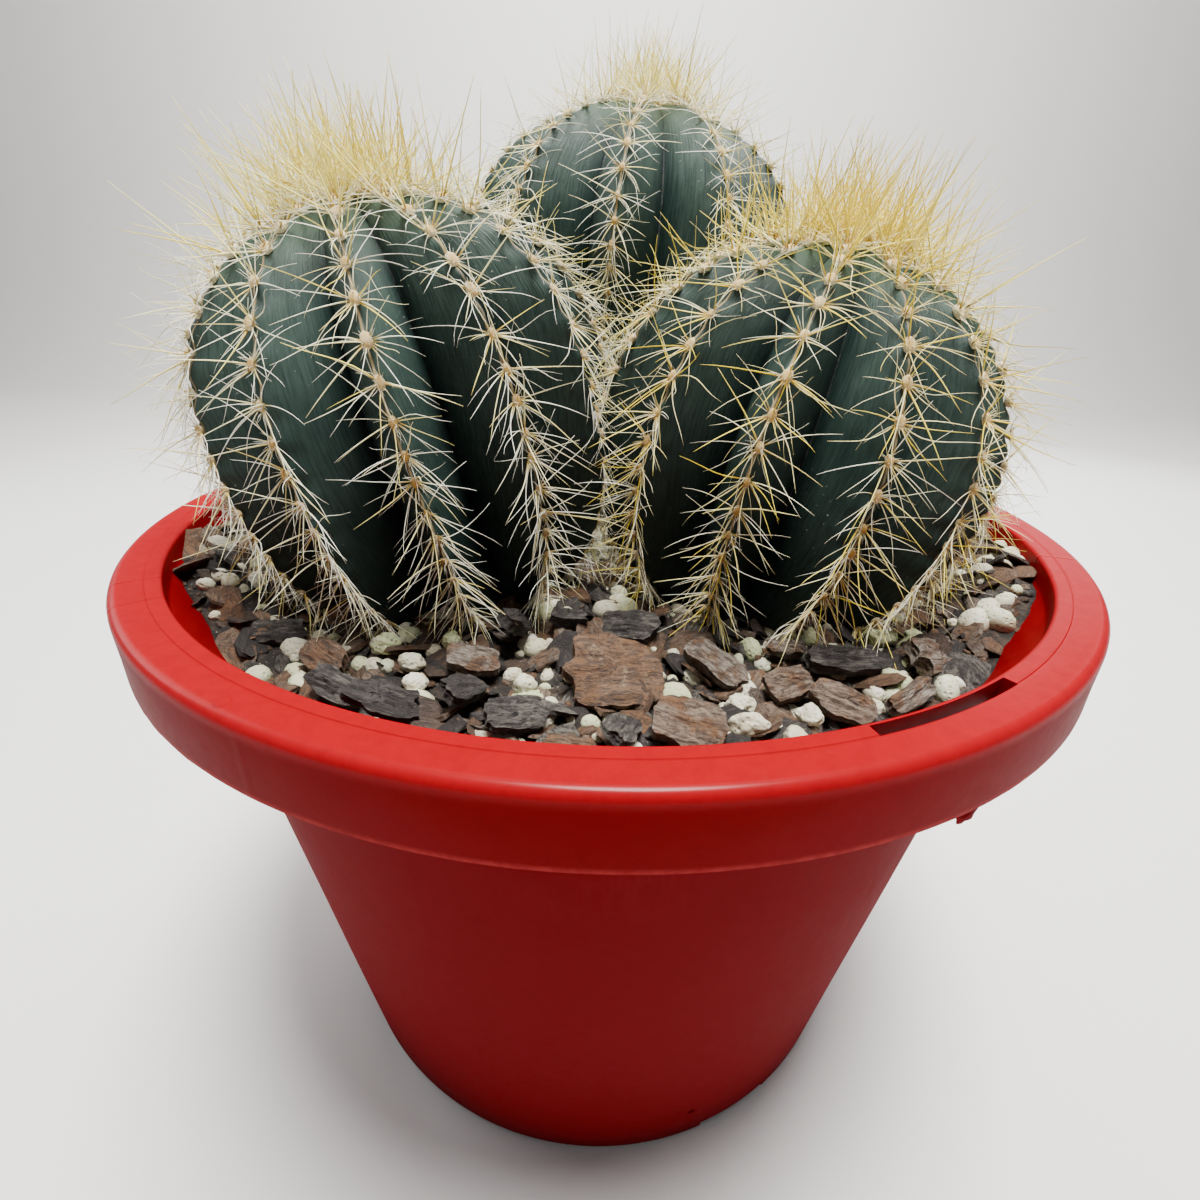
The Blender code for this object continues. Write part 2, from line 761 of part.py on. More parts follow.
def lay_pieces(materials):
    """The chosen pieces at the front, then the scattered ones round the back."""
    rng = random.Random(SCATTER_SEED)
    laid = [(*place_on_mix(flake), flake.long) for flake in FLAKES]
    laid += [(*place_on_mix(grain), grain.radius) for grain in GRAINS]
    for index in range(SCATTERED_TWIGS):
        radius = TWIG_LENGTH / 2 + TWIG_RADIUS
        grain = Grain(*find_place(rng, radius, laid), radius)
        make_twig(f"twig_{index + 1}", rng, *place_on_mix(grain), materials["brown_bark"])
    for index, flake in enumerate(FLAKES + tuple(scattered_flakes(rng, laid))):
        material = materials["dark_bark" if index % 3 == 2 else "brown_bark"]
        make_bark(f"bark_chip_{index + 1:02d}", rng, flake, material)
    grains = list(GRAINS)
    for _ in range(SCATTERED_PUMICE):
        place = find_place(rng, SCATTERED_PUMICE_RADIUS, laid)
        grains.append(Grain(*place, SCATTERED_PUMICE_RADIUS))
    for index, grain in enumerate(grains):
        make_pumice(f"pumice_{index + 1:02d}", rng, grain, materials["pumice"])


def make_materials():
    return {
        "pot": make_material("red_plastic", (0.58, 0.012, 0.016), 0.38),
        "mix": make_material("potting_mix", (0.035, 0.024, 0.017), 0.95),
        "stem": make_material("cactus_skin", (0.027, 0.075, 0.06), 0.55),
        "spines": make_material("spines_and_wool", (0.62, 0.5, 0.2), 0.7),
        "brown_bark": make_material("brown_bark", (0.16, 0.085, 0.05), 0.9),
        "dark_bark": make_material("dark_bark", (0.045, 0.038, 0.034), 0.85),
        "pumice": make_material("pumice", (0.72, 0.72, 0.6), 0.95),
    }


def main():
    clear_scene()
    materials = make_materials()
    make_pot(materials["pot"])
    make_mix(materials["mix"])
    for globe in GLOBES:
        make_stem(globe, materials["stem"])
        make_spines(globe, materials["spines"])
    lay_pieces(materials)


main()
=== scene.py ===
"""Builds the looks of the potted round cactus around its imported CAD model.

Sizes are held in millimetres, as in the CAD, and turned into metres where a mesh is made.
The origin is the centre of the pot's underside, +Z is up and -Y is the front.
"""

import logging
import math
import random
from collections.abc import Callable, Sequence
from dataclasses import dataclass
from enum import Enum
from typing import Any

import bmesh
import bpy
import numpy as np
from mathutils import Matrix, Vector, noise


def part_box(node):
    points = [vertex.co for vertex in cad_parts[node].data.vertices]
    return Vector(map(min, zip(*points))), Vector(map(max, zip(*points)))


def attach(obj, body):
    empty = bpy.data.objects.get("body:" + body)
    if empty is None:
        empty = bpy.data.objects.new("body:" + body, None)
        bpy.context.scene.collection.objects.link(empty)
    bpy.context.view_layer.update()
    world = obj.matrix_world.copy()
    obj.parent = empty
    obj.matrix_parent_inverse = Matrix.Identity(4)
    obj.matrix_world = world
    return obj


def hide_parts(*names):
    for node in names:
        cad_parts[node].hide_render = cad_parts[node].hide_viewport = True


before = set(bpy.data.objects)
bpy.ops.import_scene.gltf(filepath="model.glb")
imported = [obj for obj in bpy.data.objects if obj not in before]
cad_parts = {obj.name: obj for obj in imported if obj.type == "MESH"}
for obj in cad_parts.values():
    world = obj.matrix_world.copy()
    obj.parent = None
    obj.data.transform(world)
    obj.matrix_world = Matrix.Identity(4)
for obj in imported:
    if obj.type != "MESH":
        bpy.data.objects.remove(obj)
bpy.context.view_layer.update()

MM = 0.001
BODY = "root"
Color = tuple[float, float, float]

log = logging.getLogger("cactus")


# Sockets and node trees


class Signal:
    """The output of a node, which takes part in Python arithmetic."""

    def __init__(self, graph: "Graph", socket: bpy.types.NodeSocket) -> None:
        """Keep the tree and the socket that this value comes from."""
        self.graph = graph
        self.socket = socket

    def sibling(self, name: str) -> "Signal":
        """Return another output of the same node."""
        return Signal(self.graph, self.socket.node.outputs[name])

    def __add__(self, other: Any) -> "Signal":
        """Add a value or a signal."""
        return self.graph.math("ADD", self, other)

    __radd__ = __add__

    def __sub__(self, other: Any) -> "Signal":
        """Subtract a value or a signal."""
        return self.graph.math("SUBTRACT", self, other)

    def __rsub__(self, other: Any) -> "Signal":
        """Subtract this from a value."""
        return self.graph.math("SUBTRACT", other, self)

    def __mul__(self, other: Any) -> "Signal":
        """Multiply by a value or a signal."""
        return self.graph.math("MULTIPLY", self, other)

    __rmul__ = __mul__

    def __truediv__(self, other: Any) -> "Signal":
        """Divide by a value or a signal."""
        return self.graph.math("DIVIDE", self, other)

    def __rtruediv__(self, other: Any) -> "Signal":
        """Divide a value by this."""
        return self.graph.math("DIVIDE", other, self)

    def __pow__(self, power: Any) -> "Signal":
        """Raise to a power."""
        return self.graph.math("POWER", self, power)

    def __abs__(self) -> "Signal":
        """Return the size without its sign."""
        return self.graph.math("ABSOLUTE", self)

    def step(self, low: float, high: float, start: float = 0.0, end: float = 1.0) -> "Signal":
        """Rise smoothly from one value to another.

        Args:
            low: Input at which the result is at its start.
            high: Input at which the result is at its end.
            start: Result below low.
            end: Result above high.

        Returns:
            The eased signal.
        """
        return self.graph.node(
            "ShaderNodeMapRange",
            {"interpolation_type": "SMOOTHSTEP"},
            {"Value": self, "From Min": low, "From Max": high, "To Min": start, "To Max": end},
        )


class Graph:
    """A node tree that is written as Python expressions."""

    def __init__(self, tree: bpy.types.NodeTree) -> None:
        """Keep the tree that nodes are added to."""
        self.tree = tree

    def node(
        self,
        kind: str,
        settings: dict[str, Any] | None = None,
        inputs: dict[int | str, Any] | None = None,
        output: str | None = None,
    ) -> Signal:
        """Add a node.

        Args:
            kind: Type name of the node.
            settings: Properties of the node, set before its sockets. "stops" is a ramp's stops.
            inputs: A value, a signal or a list of signals for each socket, by name or by its
                place among the sockets in use.
            output: Name of the output wanted, or the first in use.

        Returns:
            The chosen output.
        """
        made = self.tree.nodes.new(kind)
        for name, value in (settings or {}).items():
            if name == "stops":
                self._set_stops(made.color_ramp, value)
            else:
                setattr(made, name, value)
        for key, value in (inputs or {}).items():
            self._feed(made, key, value)
        outputs = [socket for socket in made.outputs if socket.enabled]
        first = outputs[0] if outputs else None
        chosen = next((socket for socket in outputs if socket.name == output), first)
        return Signal(self, chosen) if chosen else Signal(self, made.inputs[0])

    def _feed(self, made: bpy.types.Node, key: int | str, value: Any) -> None:
        """Set one input of a node, or link it.

        Args:
            made: The node.
            key: Name of the socket, or its place among those in use.
            value: A plain value, a signal or a list of signals.
        """
        in_use = [socket for socket in made.inputs if socket.enabled]
        socket = in_use[key] if isinstance(key, int) else next(s for s in in_use if s.name == key)
        if isinstance(value, Signal):
            self.tree.links.new(value.socket, socket)
        elif isinstance(value, list):
            for item in value:
                self.tree.links.new(item.socket, socket)
        elif socket.type == "RGBA" and len(value) == 3:
            socket.default_value = (*value, 1.0)
        else:
            socket.default_value = value

    @staticmethod
    def _set_stops(ramp: bpy.types.ColorRamp, stops: Sequence[tuple[float, Color]]) -> None:
        """Set a colour ramp's stops.

        Args:
            ramp: The ramp.
            stops: Positions and their colours, from the lowest.
        """
        while len(ramp.elements) < len(stops):
            ramp.elements.new(1.0)
        for element, (position, color) in zip(ramp.elements, stops):
            element.position = position
            element.color = (*color, 1.0)

    def math(self, operation: str, *values: Any) -> Signal:
        """Add a Math node that takes these values."""
        return self.node("ShaderNodeMath", {"operation": operation}, dict(enumerate(values)))

    def vector(self, operation: str, *values: Any) -> Signal:
        """Add a Vector Math node that takes these values."""
        return self.node("ShaderNodeVectorMath", {"operation": operation}, dict(enumerate(values)))

    def join(self, x: Any, y: Any, z: Any) -> Signal:
        """Make a vector of three numbers."""
        return self.node("ShaderNodeCombineXYZ", {}, {"X": x, "Y": y, "Z": z})

    def split(self, vector: Signal) -> tuple[Signal, Signal, Signal]:
        """Return the three numbers of a vector."""
        x = self.node("ShaderNodeSeparateXYZ", {}, {"Vector": vector})
        return x, x.sibling("Y"), x.sibling("Z")

    def noise(self, place: Signal, scale: float, detail: float = 3.0, rough: float = 0.5) -> Signal:
        """Add soft noise.

        Args:
            place: Vector that the pattern is read at.
            scale: Number of its features in one unit of the vector.
            detail: Number of finer layers.
            rough: Strength of the finer layers.

        Returns:
            The noise, from 0 to 1.
        """
        sizes = {"Vector": place, "Scale": scale, "Detail": detail, "Roughness": rough}
        return self.node("ShaderNodeTexNoise", {}, sizes)

    def cells(self, place: Signal, scale: float, feature: str = "F1") -> Signal:
        """Add a Voronoi pattern and return its distance."""
        return self.node("ShaderNodeTexVoronoi", {"feature": feature}, {"Vector": place, "Scale": scale})

    def blend(self, factor: Any, first: Any, second: Any, how: str = "MIX") -> Signal:
        """Mix two colours.

        Args:
            factor: Share of the second.
            first: A colour or a signal.
            second: A colour or a signal.
            how: Blend type of the Mix node.

        Returns:
            The mixed colour.
        """
        settings = {"data_type": "RGBA", "blend_type": how}
        return self.node("ShaderNodeMix", settings, {"Factor": factor, "A": first, "B": second})

    def ramp(self, value: Signal, stops: Sequence[tuple[float, Color]]) -> Signal:
        """Turn a number into a colour along a ramp."""
        return self.node("ShaderNodeValToRGB", {"stops": stops}, {"Fac": value})

    def object_place(self) -> Signal:
        """Return the Object coordinates, in metres."""
        return self.node("ShaderNodeTexCoord", {}, {}, "Object")

    def read(self, name: str, kind: str = "Fac") -> Signal:
        """Return a mesh attribute in a material."""
        return self.node("ShaderNodeAttribute", {"attribute_name": name}, {}, kind)

    def bump(self, height: Signal, millimetres: float, under: Signal | None = None) -> Signal:
        """Turn a height into a normal.

        Args:
            height: Height, where 1 stands for the full depth.
            millimetres: The full depth.
            under: Normal of a coarser bump below this one.

        Returns:
            The normal.
        """
        inputs = {"Strength": 1.0, "Distance": millimetres * MM, "Height": height}
        if under:
            inputs["Normal"] = under
        return self.node("ShaderNodeBump", {}, inputs)

    def principled(self, **sockets: Any) -> Signal:
        """Add the surface shader.

        Args:
            **sockets: A value or a signal for each socket, with _ for each blank in its name.

        Returns:
            The shader.
        """
        inputs = {name.replace("_", " "): value for name, value in sockets.items()}
        inputs = {name.replace("Ior", "IOR"): value for name, value in inputs.items()}
        return self.node("ShaderNodeBsdfPrincipled", {}, inputs)


# Finishes


@dataclass(frozen=True)
class Finish:
    """A finish, which is made into one material."""

    name: str
    slot: str

    def build(self) -> bpy.types.Material:
        """Make the material of this finish."""
        material = bpy.data.materials.new(self.name)
        material.use_nodes = True
        material.node_tree.nodes.clear()
        graph = Graph(material.node_tree)
        graph.node("ShaderNodeOutputMaterial", {}, {"Surface": self.surface(graph)})
        return material

    def surface(self, graph: Graph) -> Signal:
        """Return the surface shader, which each finish writes for itself."""
        raise NotImplementedError


@dataclass(frozen=True)
class RedPlastic(Finish):
    """Moulded red plastic: a semi-gloss rim over a matt, slightly dusty wall. The rim top is painted lighter
    and the skirt and wall darker, partly the plastic's own tone and partly painted light and shade; the dust
    also paints a sheen.
    """

    # The rim, skirt and wall colours differ partly in the plastic's own tone and partly as painted light: the
    # top is painted lighter, the skirt and wall painted darker.
    rim: Color = (0.260, 0.0009, 0.0050)
    skirt: Color = (0.180, 0.0002, 0.0024)
    wall: Color = (0.145, 0.0004, 0.0028)
    worn: Color = (0.38, 0.03, 0.03)
    # Pale dust colour, which also paints a sheen on the wall.
    dust_sheen_colour: Color = (0.200, 0.018, 0.022)
    ior: float = 1.08
    edge_gloss: float = 0.3
    edge_reach: float = 0.0994
    edge_half: float = 0.0011
    skirt_foot: float = 0.1231
    top: float = 0.1343

    def line(self, graph: Graph, turn: Signal, reach: Signal, azimuth: float, width: float) -> Signal:
        """Mark a straight mould line that runs outwards or down at one azimuth.

        Args:
            graph: Not used.
            turn: Azimuth of the point, in radians.
            reach: Distance of the point from the pot's axis.
            azimuth: Azimuth of the line, in degrees.
            width: Width of the line, in millimetres.

        Returns:
            1 on the line and 0 off it.
        """
        off = abs(turn - math.radians(azimuth)) * reach
        return off.step(0.0, width * MM, 1.0, 0.0)

    def surface(self, graph: Graph) -> Signal:
        """Return the plastic, with its weld lines, scuffs, dust with a painted sheen, worn edges, and painted
        light and shade in the rim, skirt and wall colours.
        """
        place = graph.object_place()
        x, y, z = graph.split(place)
        reach = graph.math("SQRT", x * x + y * y)
        turn = graph.math("ARCTAN2", y, x)
        on_rim = z.step(self.skirt_foot - 0.0002, self.skirt_foot + 0.0001)
        on_top = z.step(self.top - 0.0028, self.top - 0.0006)
        cloud = graph.noise(place, 28.0, 5.0, 0.6)
        mottle = graph.noise(place, 420.0, 4.0, 0.65)
        grain = graph.noise(place, 2600.0, 2.0, 0.6)
        streaks = graph.noise(graph.join(turn * 9.0, reach * 40.0, z * 22.0), 6.0, 4.0, 0.6)
        # Painted light and shade: the rim top takes the lighter colour, the skirt and wall the darker ones.
        side = graph.blend(on_rim, self.wall, self.skirt)
        colour = graph.blend(on_top, side, self.rim)
        colour = graph.blend(mottle.step(0.35, 0.75, 0.0, 0.2), colour, (0.13, 0.0006, 0.003))
        # Dust on the wall, which also paints a sheen that grows towards the top of the wall.
        dust_and_sheen = (1.0 - on_rim) * cloud.step(0.42, 0.72) * streaks.step(0.3, 0.75)
        dust_and_sheen = dust_and_sheen * z.step(0.02, 0.11, 0.35, 1.0) * 0.34
        colour = graph.blend(dust_and_sheen, colour, self.dust_sheen_colour)
        foot = abs(z - (self.skirt_foot + 0.0004)).step(0.0, 0.0009, 1.0, 0.0) * reach.step(0.0975, 0.0995)
        scuffs = graph.noise(graph.join(turn * 30.0, reach * 900.0, z * 900.0), 1.0, 4.0, 0.7)
        scuffed = scuffs.step(0.66, 0.74) * on_top * 0.28
        worn = graph.math("MAXIMUM", foot * mottle.step(0.3, 0.7, 0.25, 0.75), scuffed)
        colour = graph.blend(worn, colour, self.worn)
        top_lines = self.line(graph, turn, reach, -145.5, 0.55) + self.line(graph, turn, reach, -139.7, 0.55)
        top_lines = top_lines + self.line(graph, turn, reach, -90.6, 0.5) * 0.12
        top_lines = top_lines + self.line(graph, turn, reach, -19.0, 0.5) * 0.8
        side_lines = self.line(graph, turn, reach, -114.5, 1.3) + self.line(graph, turn, reach, 66.0, 1.3)
        lines = top_lines * on_top + side_lines * on_rim * (1.0 - on_top) * 0.22
        gate = graph.vector("DISTANCE", place, self.gate_place())
        lines = lines + gate.step(0.0006, 0.0013, 1.0, 0.0)
        edge = abs(reach - self.edge_reach).step(0.0, self.edge_half, 1.0, 0.0) * on_top
        rough = on_rim.step(0.0, 1.0, 0.58, 0.42) + mottle * 0.14 + scuffed * 0.4 + dust_and_sheen * 0.5
        coarse = graph.bump(cloud * 0.6 + lines * 0.9, 0.22)
        fine = graph.bump(mottle * 0.7 + grain * 0.3, 0.05, coarse)
        return graph.principled(
            Base_Color=colour,
            Roughness=rough,
            Normal=fine,
            Ior=self.ior,
            Coat_Weight=edge * self.edge_gloss,
            Coat_Roughness=0.25,
        )

    def gate_place(self) -> Color:
        """Return the place of the small round mark that the mould's gate left on the rim."""
        turn = math.radians(-117.2)
        return (0.0979 * math.cos(turn), 0.0979 * math.sin(turn), self.top)


@dataclass(frozen=True)
class CactusSkin(Finish):
    """Waxy blue-green skin with a grey bloom, fine streaks, a thin corky crest line and painted shade in the
    grooves.
    """

    deep: Color = (0.0025, 0.0110, 0.0110)
    green: Color = (0.0050, 0.0190, 0.0168)
    bloom: Color = (0.092, 0.145, 0.120)
    fresh: Color = (0.060, 0.120, 0.050)
    cork: Color = (0.42, 0.30, 0.15)

    def surface(self, graph: Graph) -> Signal:
        """Return the skin, from the attributes share, flank, crest_mm and around."""
        place = graph.object_place()
        share = graph.read("share")
        flank = graph.read("flank")
        crest_mm = graph.read("crest_mm")
        around = graph.read("around")
        slant = graph.join(around * 7.0 + share * 5.0, share * 3.2, 0.0)
        streak = graph.noise(slant, 3.2, 6.0, 0.68)
        hair = graph.noise(graph.join(around * 26.0 + share * 16.0, share * 7.0, 3.0), 2.6, 4.0, 0.7)
        cloud = graph.noise(place, 55.0, 4.0, 0.55)
        speck = graph.noise(place, 1500.0, 2.0, 0.5)
        colour = graph.blend(streak.step(0.25, 0.72), self.deep, self.green)
        # The grey bloom is the skin's own and grows towards the crown; it is painted thinner towards the
        # grooves as painted shade.
        bloom_and_shade = share.step(0.15, 0.90, 0.22, 1.0) * cloud.step(0.28, 0.68, 0.45, 1.0)
        bloom_and_shade = bloom_and_shade * streak.step(0.36, 0.60, 0.55, 1.0) * flank.step(0.55, 1.0, 0.62, 0.16)
        colour = graph.blend(bloom_and_shade, colour, self.bloom)
        scratches = hair.step(0.54, 0.68) * share.step(0.3, 0.75, 0.9, 0.15)
        colour = graph.blend(scratches * 0.85, colour, self.deep)
        young = share.step(0.86, 0.99) * cloud.step(0.3, 0.6, 0.5, 1.0)
        colour = graph.blend(young * 0.5, colour, self.fresh)
        cork = crest_mm.step(0.08, 0.36, 1.0, 0.0) * cloud.step(0.25, 0.55, 0.2, 0.8)
        colour = graph.blend(cork, colour, self.cork)
        # Painted shade: the bottoms of the grooves are darkened towards near black.
        groove_shade = flank.step(0.93, 1.0)
        colour = graph.blend(groove_shade * 0.75, colour, (0.002, 0.008, 0.006))
        chalk = speck.step(0.71, 0.74) * cloud.step(0.52, 0.66)
        colour = graph.blend(chalk * 0.7, colour, (0.55, 0.56, 0.52))
        rough = bloom_and_shade * 0.22 + 0.40 + cork * 0.25 + scratches * 0.05
        coarse = graph.bump(streak * 0.6 + cloud * 0.4, 0.35)
        fine = graph.bump(hair * 0.55 + speck * 0.2, 0.10, coarse)
        return graph.principled(
            Base_Color=colour, Roughness=rough, Normal=fine, Subsurface_Weight=0.0, Ior=1.33
        )


@dataclass(frozen=True)
class SpineFinish(Finish):
    """Horny spines, amber at the base and paler along, grey-brown at the tip."""

    base: Color = (0.56, 0.32, 0.03)
    gold: Color = (0.90, 0.70, 0.03)
    straw: Color = (0.94, 0.86, 0.27)
    bone: Color = (0.96, 0.95, 0.80)
    tip: Color = (0.40, 0.29, 0.15)

    def surface(self, graph: Graph) -> Signal:
        """Return the horn, from the attributes along, tint and pale."""
        along = graph.read("along")
        tint = graph.read("tint")
        pale = graph.read("pale")
        bright = graph.blend(tint, self.gold, self.straw)
        bright = graph.blend(pale, bright, self.bone)
        foot = graph.blend(pale * 0.55, self.base, self.straw)
        colour = graph.blend(along.step(0.0, 0.24), foot, bright)
        ageing = along.step(0.8, 1.0) * tint.step(0.2, 0.9, 0.4, 0.1) * (1.0 - pale * 0.8)
        colour = graph.blend(ageing, colour, self.tip)
        ripple = graph.noise(graph.join(along * 14.0, tint * 9.0, 0.0), 2.0, 2.0)
        rough = ripple * 0.2 + 0.36
        return graph.principled(Base_Color=colour, Roughness=rough, Ior=1.5, Subsurface_Weight=0.0)


@dataclass(frozen=True)
class WoolFinish(Finish):
    """Felted wool of the areoles: cream at the crown, tan and brown on old ones."""

    young: Color = (0.88, 0.81, 0.55)
    old: Color = (0.46, 0.31, 0.12)
    heart: Color = (0.55, 0.32, 0.05)

    def surface(self, graph: Graph) -> Signal:
        """Return the felt, from the attributes age and tuft, which is 1 at a tuft's middle."""
        place = graph.object_place()
        age = graph.read("age")
        tuft = graph.read("tuft")
        fibre = graph.noise(place, 2400.0, 3.0, 0.7)
        clump = graph.noise(place, 700.0, 3.0, 0.6)
        colour = graph.blend(age.step(0.05, 0.85), self.young, self.old)
        colour = graph.blend(tuft.step(0.15, 0.85) * 0.85, colour, self.heart)
        colour = graph.blend(clump.step(0.4, 0.75, 0.0, 0.35), colour, (0.92, 0.87, 0.66))
        fluff = graph.bump(fibre * 0.6 + clump * 0.4, 0.35)
        return graph.principled(
            Base_Color=colour, Roughness=0.95, Normal=fluff, Sheen_Weight=0.15, Sheen_Roughness=0.5
        )


@dataclass(frozen=True)
class BarkFinish(Finish):
    """Weathered pine bark: layered, streaked along its grain, from rust brown to grey and black."""

    rust: Color = (0.200, 0.096, 0.040)
    umber: Color = (0.062, 0.036, 0.023)
    ash: Color = (0.290, 0.262, 0.222)
    char: Color = (0.018, 0.014, 0.013)
    cream: Color = (0.42, 0.29, 0.18)

    def surface(self, graph: Graph) -> Signal:
        """Return the bark, from the attributes tone, from brown to black, and grain, a place in mm."""
        tone = graph.read("tone")
        ashen = graph.read("ashen")
        x, y, z = graph.split(graph.read("grain", "Vector"))
        along = graph.join(x * 0.16, y * 0.95, z * 2.6)
        streak = graph.noise(along, 1.6, 6.0, 0.68)
        blotch = graph.noise(graph.join(x, y, z), 0.34, 4.0, 0.6)
        pore = graph.noise(graph.join(x * 0.7, y * 1.6, z * 2.0), 3.4, 3.0, 0.7)
        warm = graph.blend(streak.step(0.38, 0.62), self.umber, self.rust)
        warm = graph.blend(blotch.step(0.6, 0.75) * 0.6, warm, self.cream)
        dark = graph.blend(streak.step(0.42, 0.72), self.char, (0.062, 0.048, 0.041))
        colour = graph.blend(tone.step(0.3, 0.75), warm, dark)
        dusted = blotch.step(0.38, 0.58) * streak.step(0.40, 0.60, 0.18, 1.0) * ashen
        colour = graph.blend(dusted, colour, self.ash)
        cracks = pore.step(0.30, 0.42, 1.0, 0.0)
        colour = graph.blend(cracks * 0.8, colour, self.char)
        rough = streak * 0.2 + 0.68
        coarse = graph.bump(streak * 0.75 + blotch * 0.25, 1.1)
        fine = graph.bump(pore, 0.28, coarse)
        return graph.principled(Base_Color=colour, Roughness=rough, Normal=fine)


@dataclass(frozen=True)
class PumiceFinish(Finish):
    """Chalky, pitted pumice: white to cream, some grains green with algae, and painted shade in the pits."""

    white: Color = (0.64, 0.62, 0.50)
    cream: Color = (0.50, 0.45, 0.31)
    algae: Color = (0.42, 0.47, 0.24)
    # Colour of the painted shade in the pits.
    pit: Color = (0.22, 0.20, 0.15)

    def surface(self, graph: Graph) -> Signal:
        """Return the stone, from the attribute green."""
        place = graph.object_place()
        green = graph.read("green")
        cloud = graph.noise(place, 260.0, 4.0, 0.6)
        pits = graph.cells(place, 1150.0)
        fine = graph.noise(place, 2600.0, 3.0, 0.65)
        colour = graph.blend(cloud.step(0.35, 0.7), self.cream, self.white)
        colour = graph.blend(green * cloud.step(0.25, 0.6, 0.5, 1.0), colour, self.algae)
        # Painted shade: the pits are darkened towards the pit colour.
        pit_shade = pits.step(0.12, 0.32, 1.0, 0.0) * fine.step(0.4, 0.55)
        colour = graph.blend(pit_shade * 0.5, colour, self.pit)
        height = pits.step(0.1, 0.5) * 0.7 + fine * 0.3
        return graph.principled(Base_Color=colour, Roughness=0.92, Normal=graph.bump(height, 0.22))


@dataclass(frozen=True)
class SoilFinish(Finish):
    """The dark, damp fines between the chips."""

    dark: Color = (0.010, 0.008, 0.006)
    brown: Color = (0.065, 0.040, 0.025)

    def surface(self, graph: Graph) -> Signal:
        """Return the fines."""
        place = graph.object_place()
        clod = graph.noise(place, 330.0, 6.0, 0.7)
        crumb = graph.cells(place, 620.0)
        fleck = graph.noise(place, 1500.0, 2.0, 0.5)
        colour = graph.blend(clod.step(0.40, 0.80), self.dark, self.brown)
        colour = graph.blend(fleck.step(0.66, 0.74) * 0.6, colour, (0.34, 0.30, 0.24))
        height = clod * 0.6 + crumb * 0.4
        return graph.principled(Base_Color=colour, Roughness=0.93, Normal=graph.bump(height, 1.6))


@dataclass(frozen=True)
class StagePaint(Finish):
    """Plain pale paint of the floor and the wall behind."""

    colour: Color = (0.80, 0.79, 0.775)

    def surface(self, graph: Graph) -> Signal:
        """Return the paint."""
        mottle = graph.noise(graph.object_place(), 2.0, 2.0)
        colour = graph.blend(mottle * 0.1, self.colour, (0.74, 0.73, 0.72))
        return graph.principled(Base_Color=colour, Roughness=0.7)


# Meshes


def smooth(value: Any, low: float, high: float) -> Any:
    """Rise smoothly from 0 at low to 1 at high.

    Args:
        value: A number or an array.
        low: Value at which the result is 0.
        high: Value at which the result is 1.

    Returns:
        The eased number or array.
    """
    share = np.clip((value - low) / (high - low), 0.0, 1.0)
    return share * share * (3.0 - 2.0 * share)


def mesh_from(points: Sequence[Any], faces: Sequence[Sequence[int]], name: str) -> bpy.types.Mesh:
    """Make a mesh from points in millimetres.

    Args:
        points: The points.
        faces: Numbers of each face's points, turning left seen from outside.
        name: Name of the mesh.

    Returns:
        The mesh, smooth shaded.
    """
    mesh = bpy.data.meshes.new(name)
    rows = (np.asarray(points, float).reshape(-1, 3) * MM).tolist()
    mesh.from_pydata(rows, [], faces)
    mesh.shade_smooth()
    mesh.update()
    return mesh


def add_attribute(mesh: bpy.types.Mesh, name: str, values: Any) -> None:
    """Store one number or vector for each point of a mesh.

    Args:
        mesh: The mesh.
        name: Name of the attribute.
        values: An array with a row for each point, or one number for all.
    """
    data = np.asarray(values, np.float32)
    if data.ndim == 0:
        data = np.full(len(mesh.vertices), data)
    kind, field = ("FLOAT", "value") if data.ndim == 1 else ("FLOAT_VECTOR", "vector")
    mesh.attributes.new(name, kind, "POINT").data.foreach_set(field, data.ravel())


def link(name: str, mesh: bpy.types.Mesh) -> bpy.types.Object:
    """Put a mesh in the scene as an object."""
    obj = bpy.data.objects.new(name, mesh)
    bpy.context.scene.collection.objects.link(obj)
    return obj


def remove(obj: bpy.types.Object) -> None:
    """Take a helper out of the file."""
    bpy.data.objects.remove(obj, do_unlink=True)


def evaluated_mesh(obj: bpy.types.Object) -> bpy.types.Mesh:
    """Return the mesh that an object's modifiers make, as a plain mesh."""
    graph = bpy.context.evaluated_depsgraph_get()
    return bpy.data.meshes.new_from_object(
        obj.evaluated_get(graph), preserve_all_data_layers=True, depsgraph=graph
    )


def ring_faces(rows: int, around: int, start: int = 0) -> list[tuple[int, int, int, int]]:
    """Join rows of points, each a closed ring, by faces that look outwards when rows rise.

    Args:
        rows: Number of rings.
        around: Number of points in each.
        start: Number of the first point.

    Returns:
        The faces.
    """
    faces = []
    for row in range(rows - 1):
        low = start + row * around
        for index in range(around):
            after = (index + 1) % around
            faces.append((low + index, low + after, low + around + after, low + around + index))
    return faces


def end_fans(around: int, centre: int, last: int) -> list[tuple[int, int, int]]:
    """Return the faces that close the first and last rings of a mesh.

    Args:
        around: Number of points in a ring.
        centre: Index of the first ring's middle point. The last ring's one follows it.
        last: Index of the last ring's first point.

    Returns:
        The triangles.
    """
    faces = []
    for index in range(around):
        after = (index + 1) % around
        faces += [(centre, index, after), (centre + 1, last + after, last + index)]
    return faces


def node_box(node: str) -> tuple[Vector, Vector]:
    """Return the middle and the size of a CAD node's box, in millimetres."""
    low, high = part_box(node)
    return (low + high) / 2 / MM, (high - low) / MM


def finish_piece(obj: bpy.types.Object, finish: Finish, *nodes: str) -> bpy.types.Object:
    """Make an object a piece: it rides on the body and stands for its CAD nodes.

    Args:
        obj: The object.
        finish: Not used.
        *nodes: CAD nodes that it stands for.

    Returns:
        The object.
    """
    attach(obj, BODY)
    if nodes:
        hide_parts(*nodes)
    log.info("%s: %d faces, stands for %s", obj.name, len(obj.data.polygons), ", ".join(nodes) or "nothing")
    return obj


# Geometry Nodes recipes


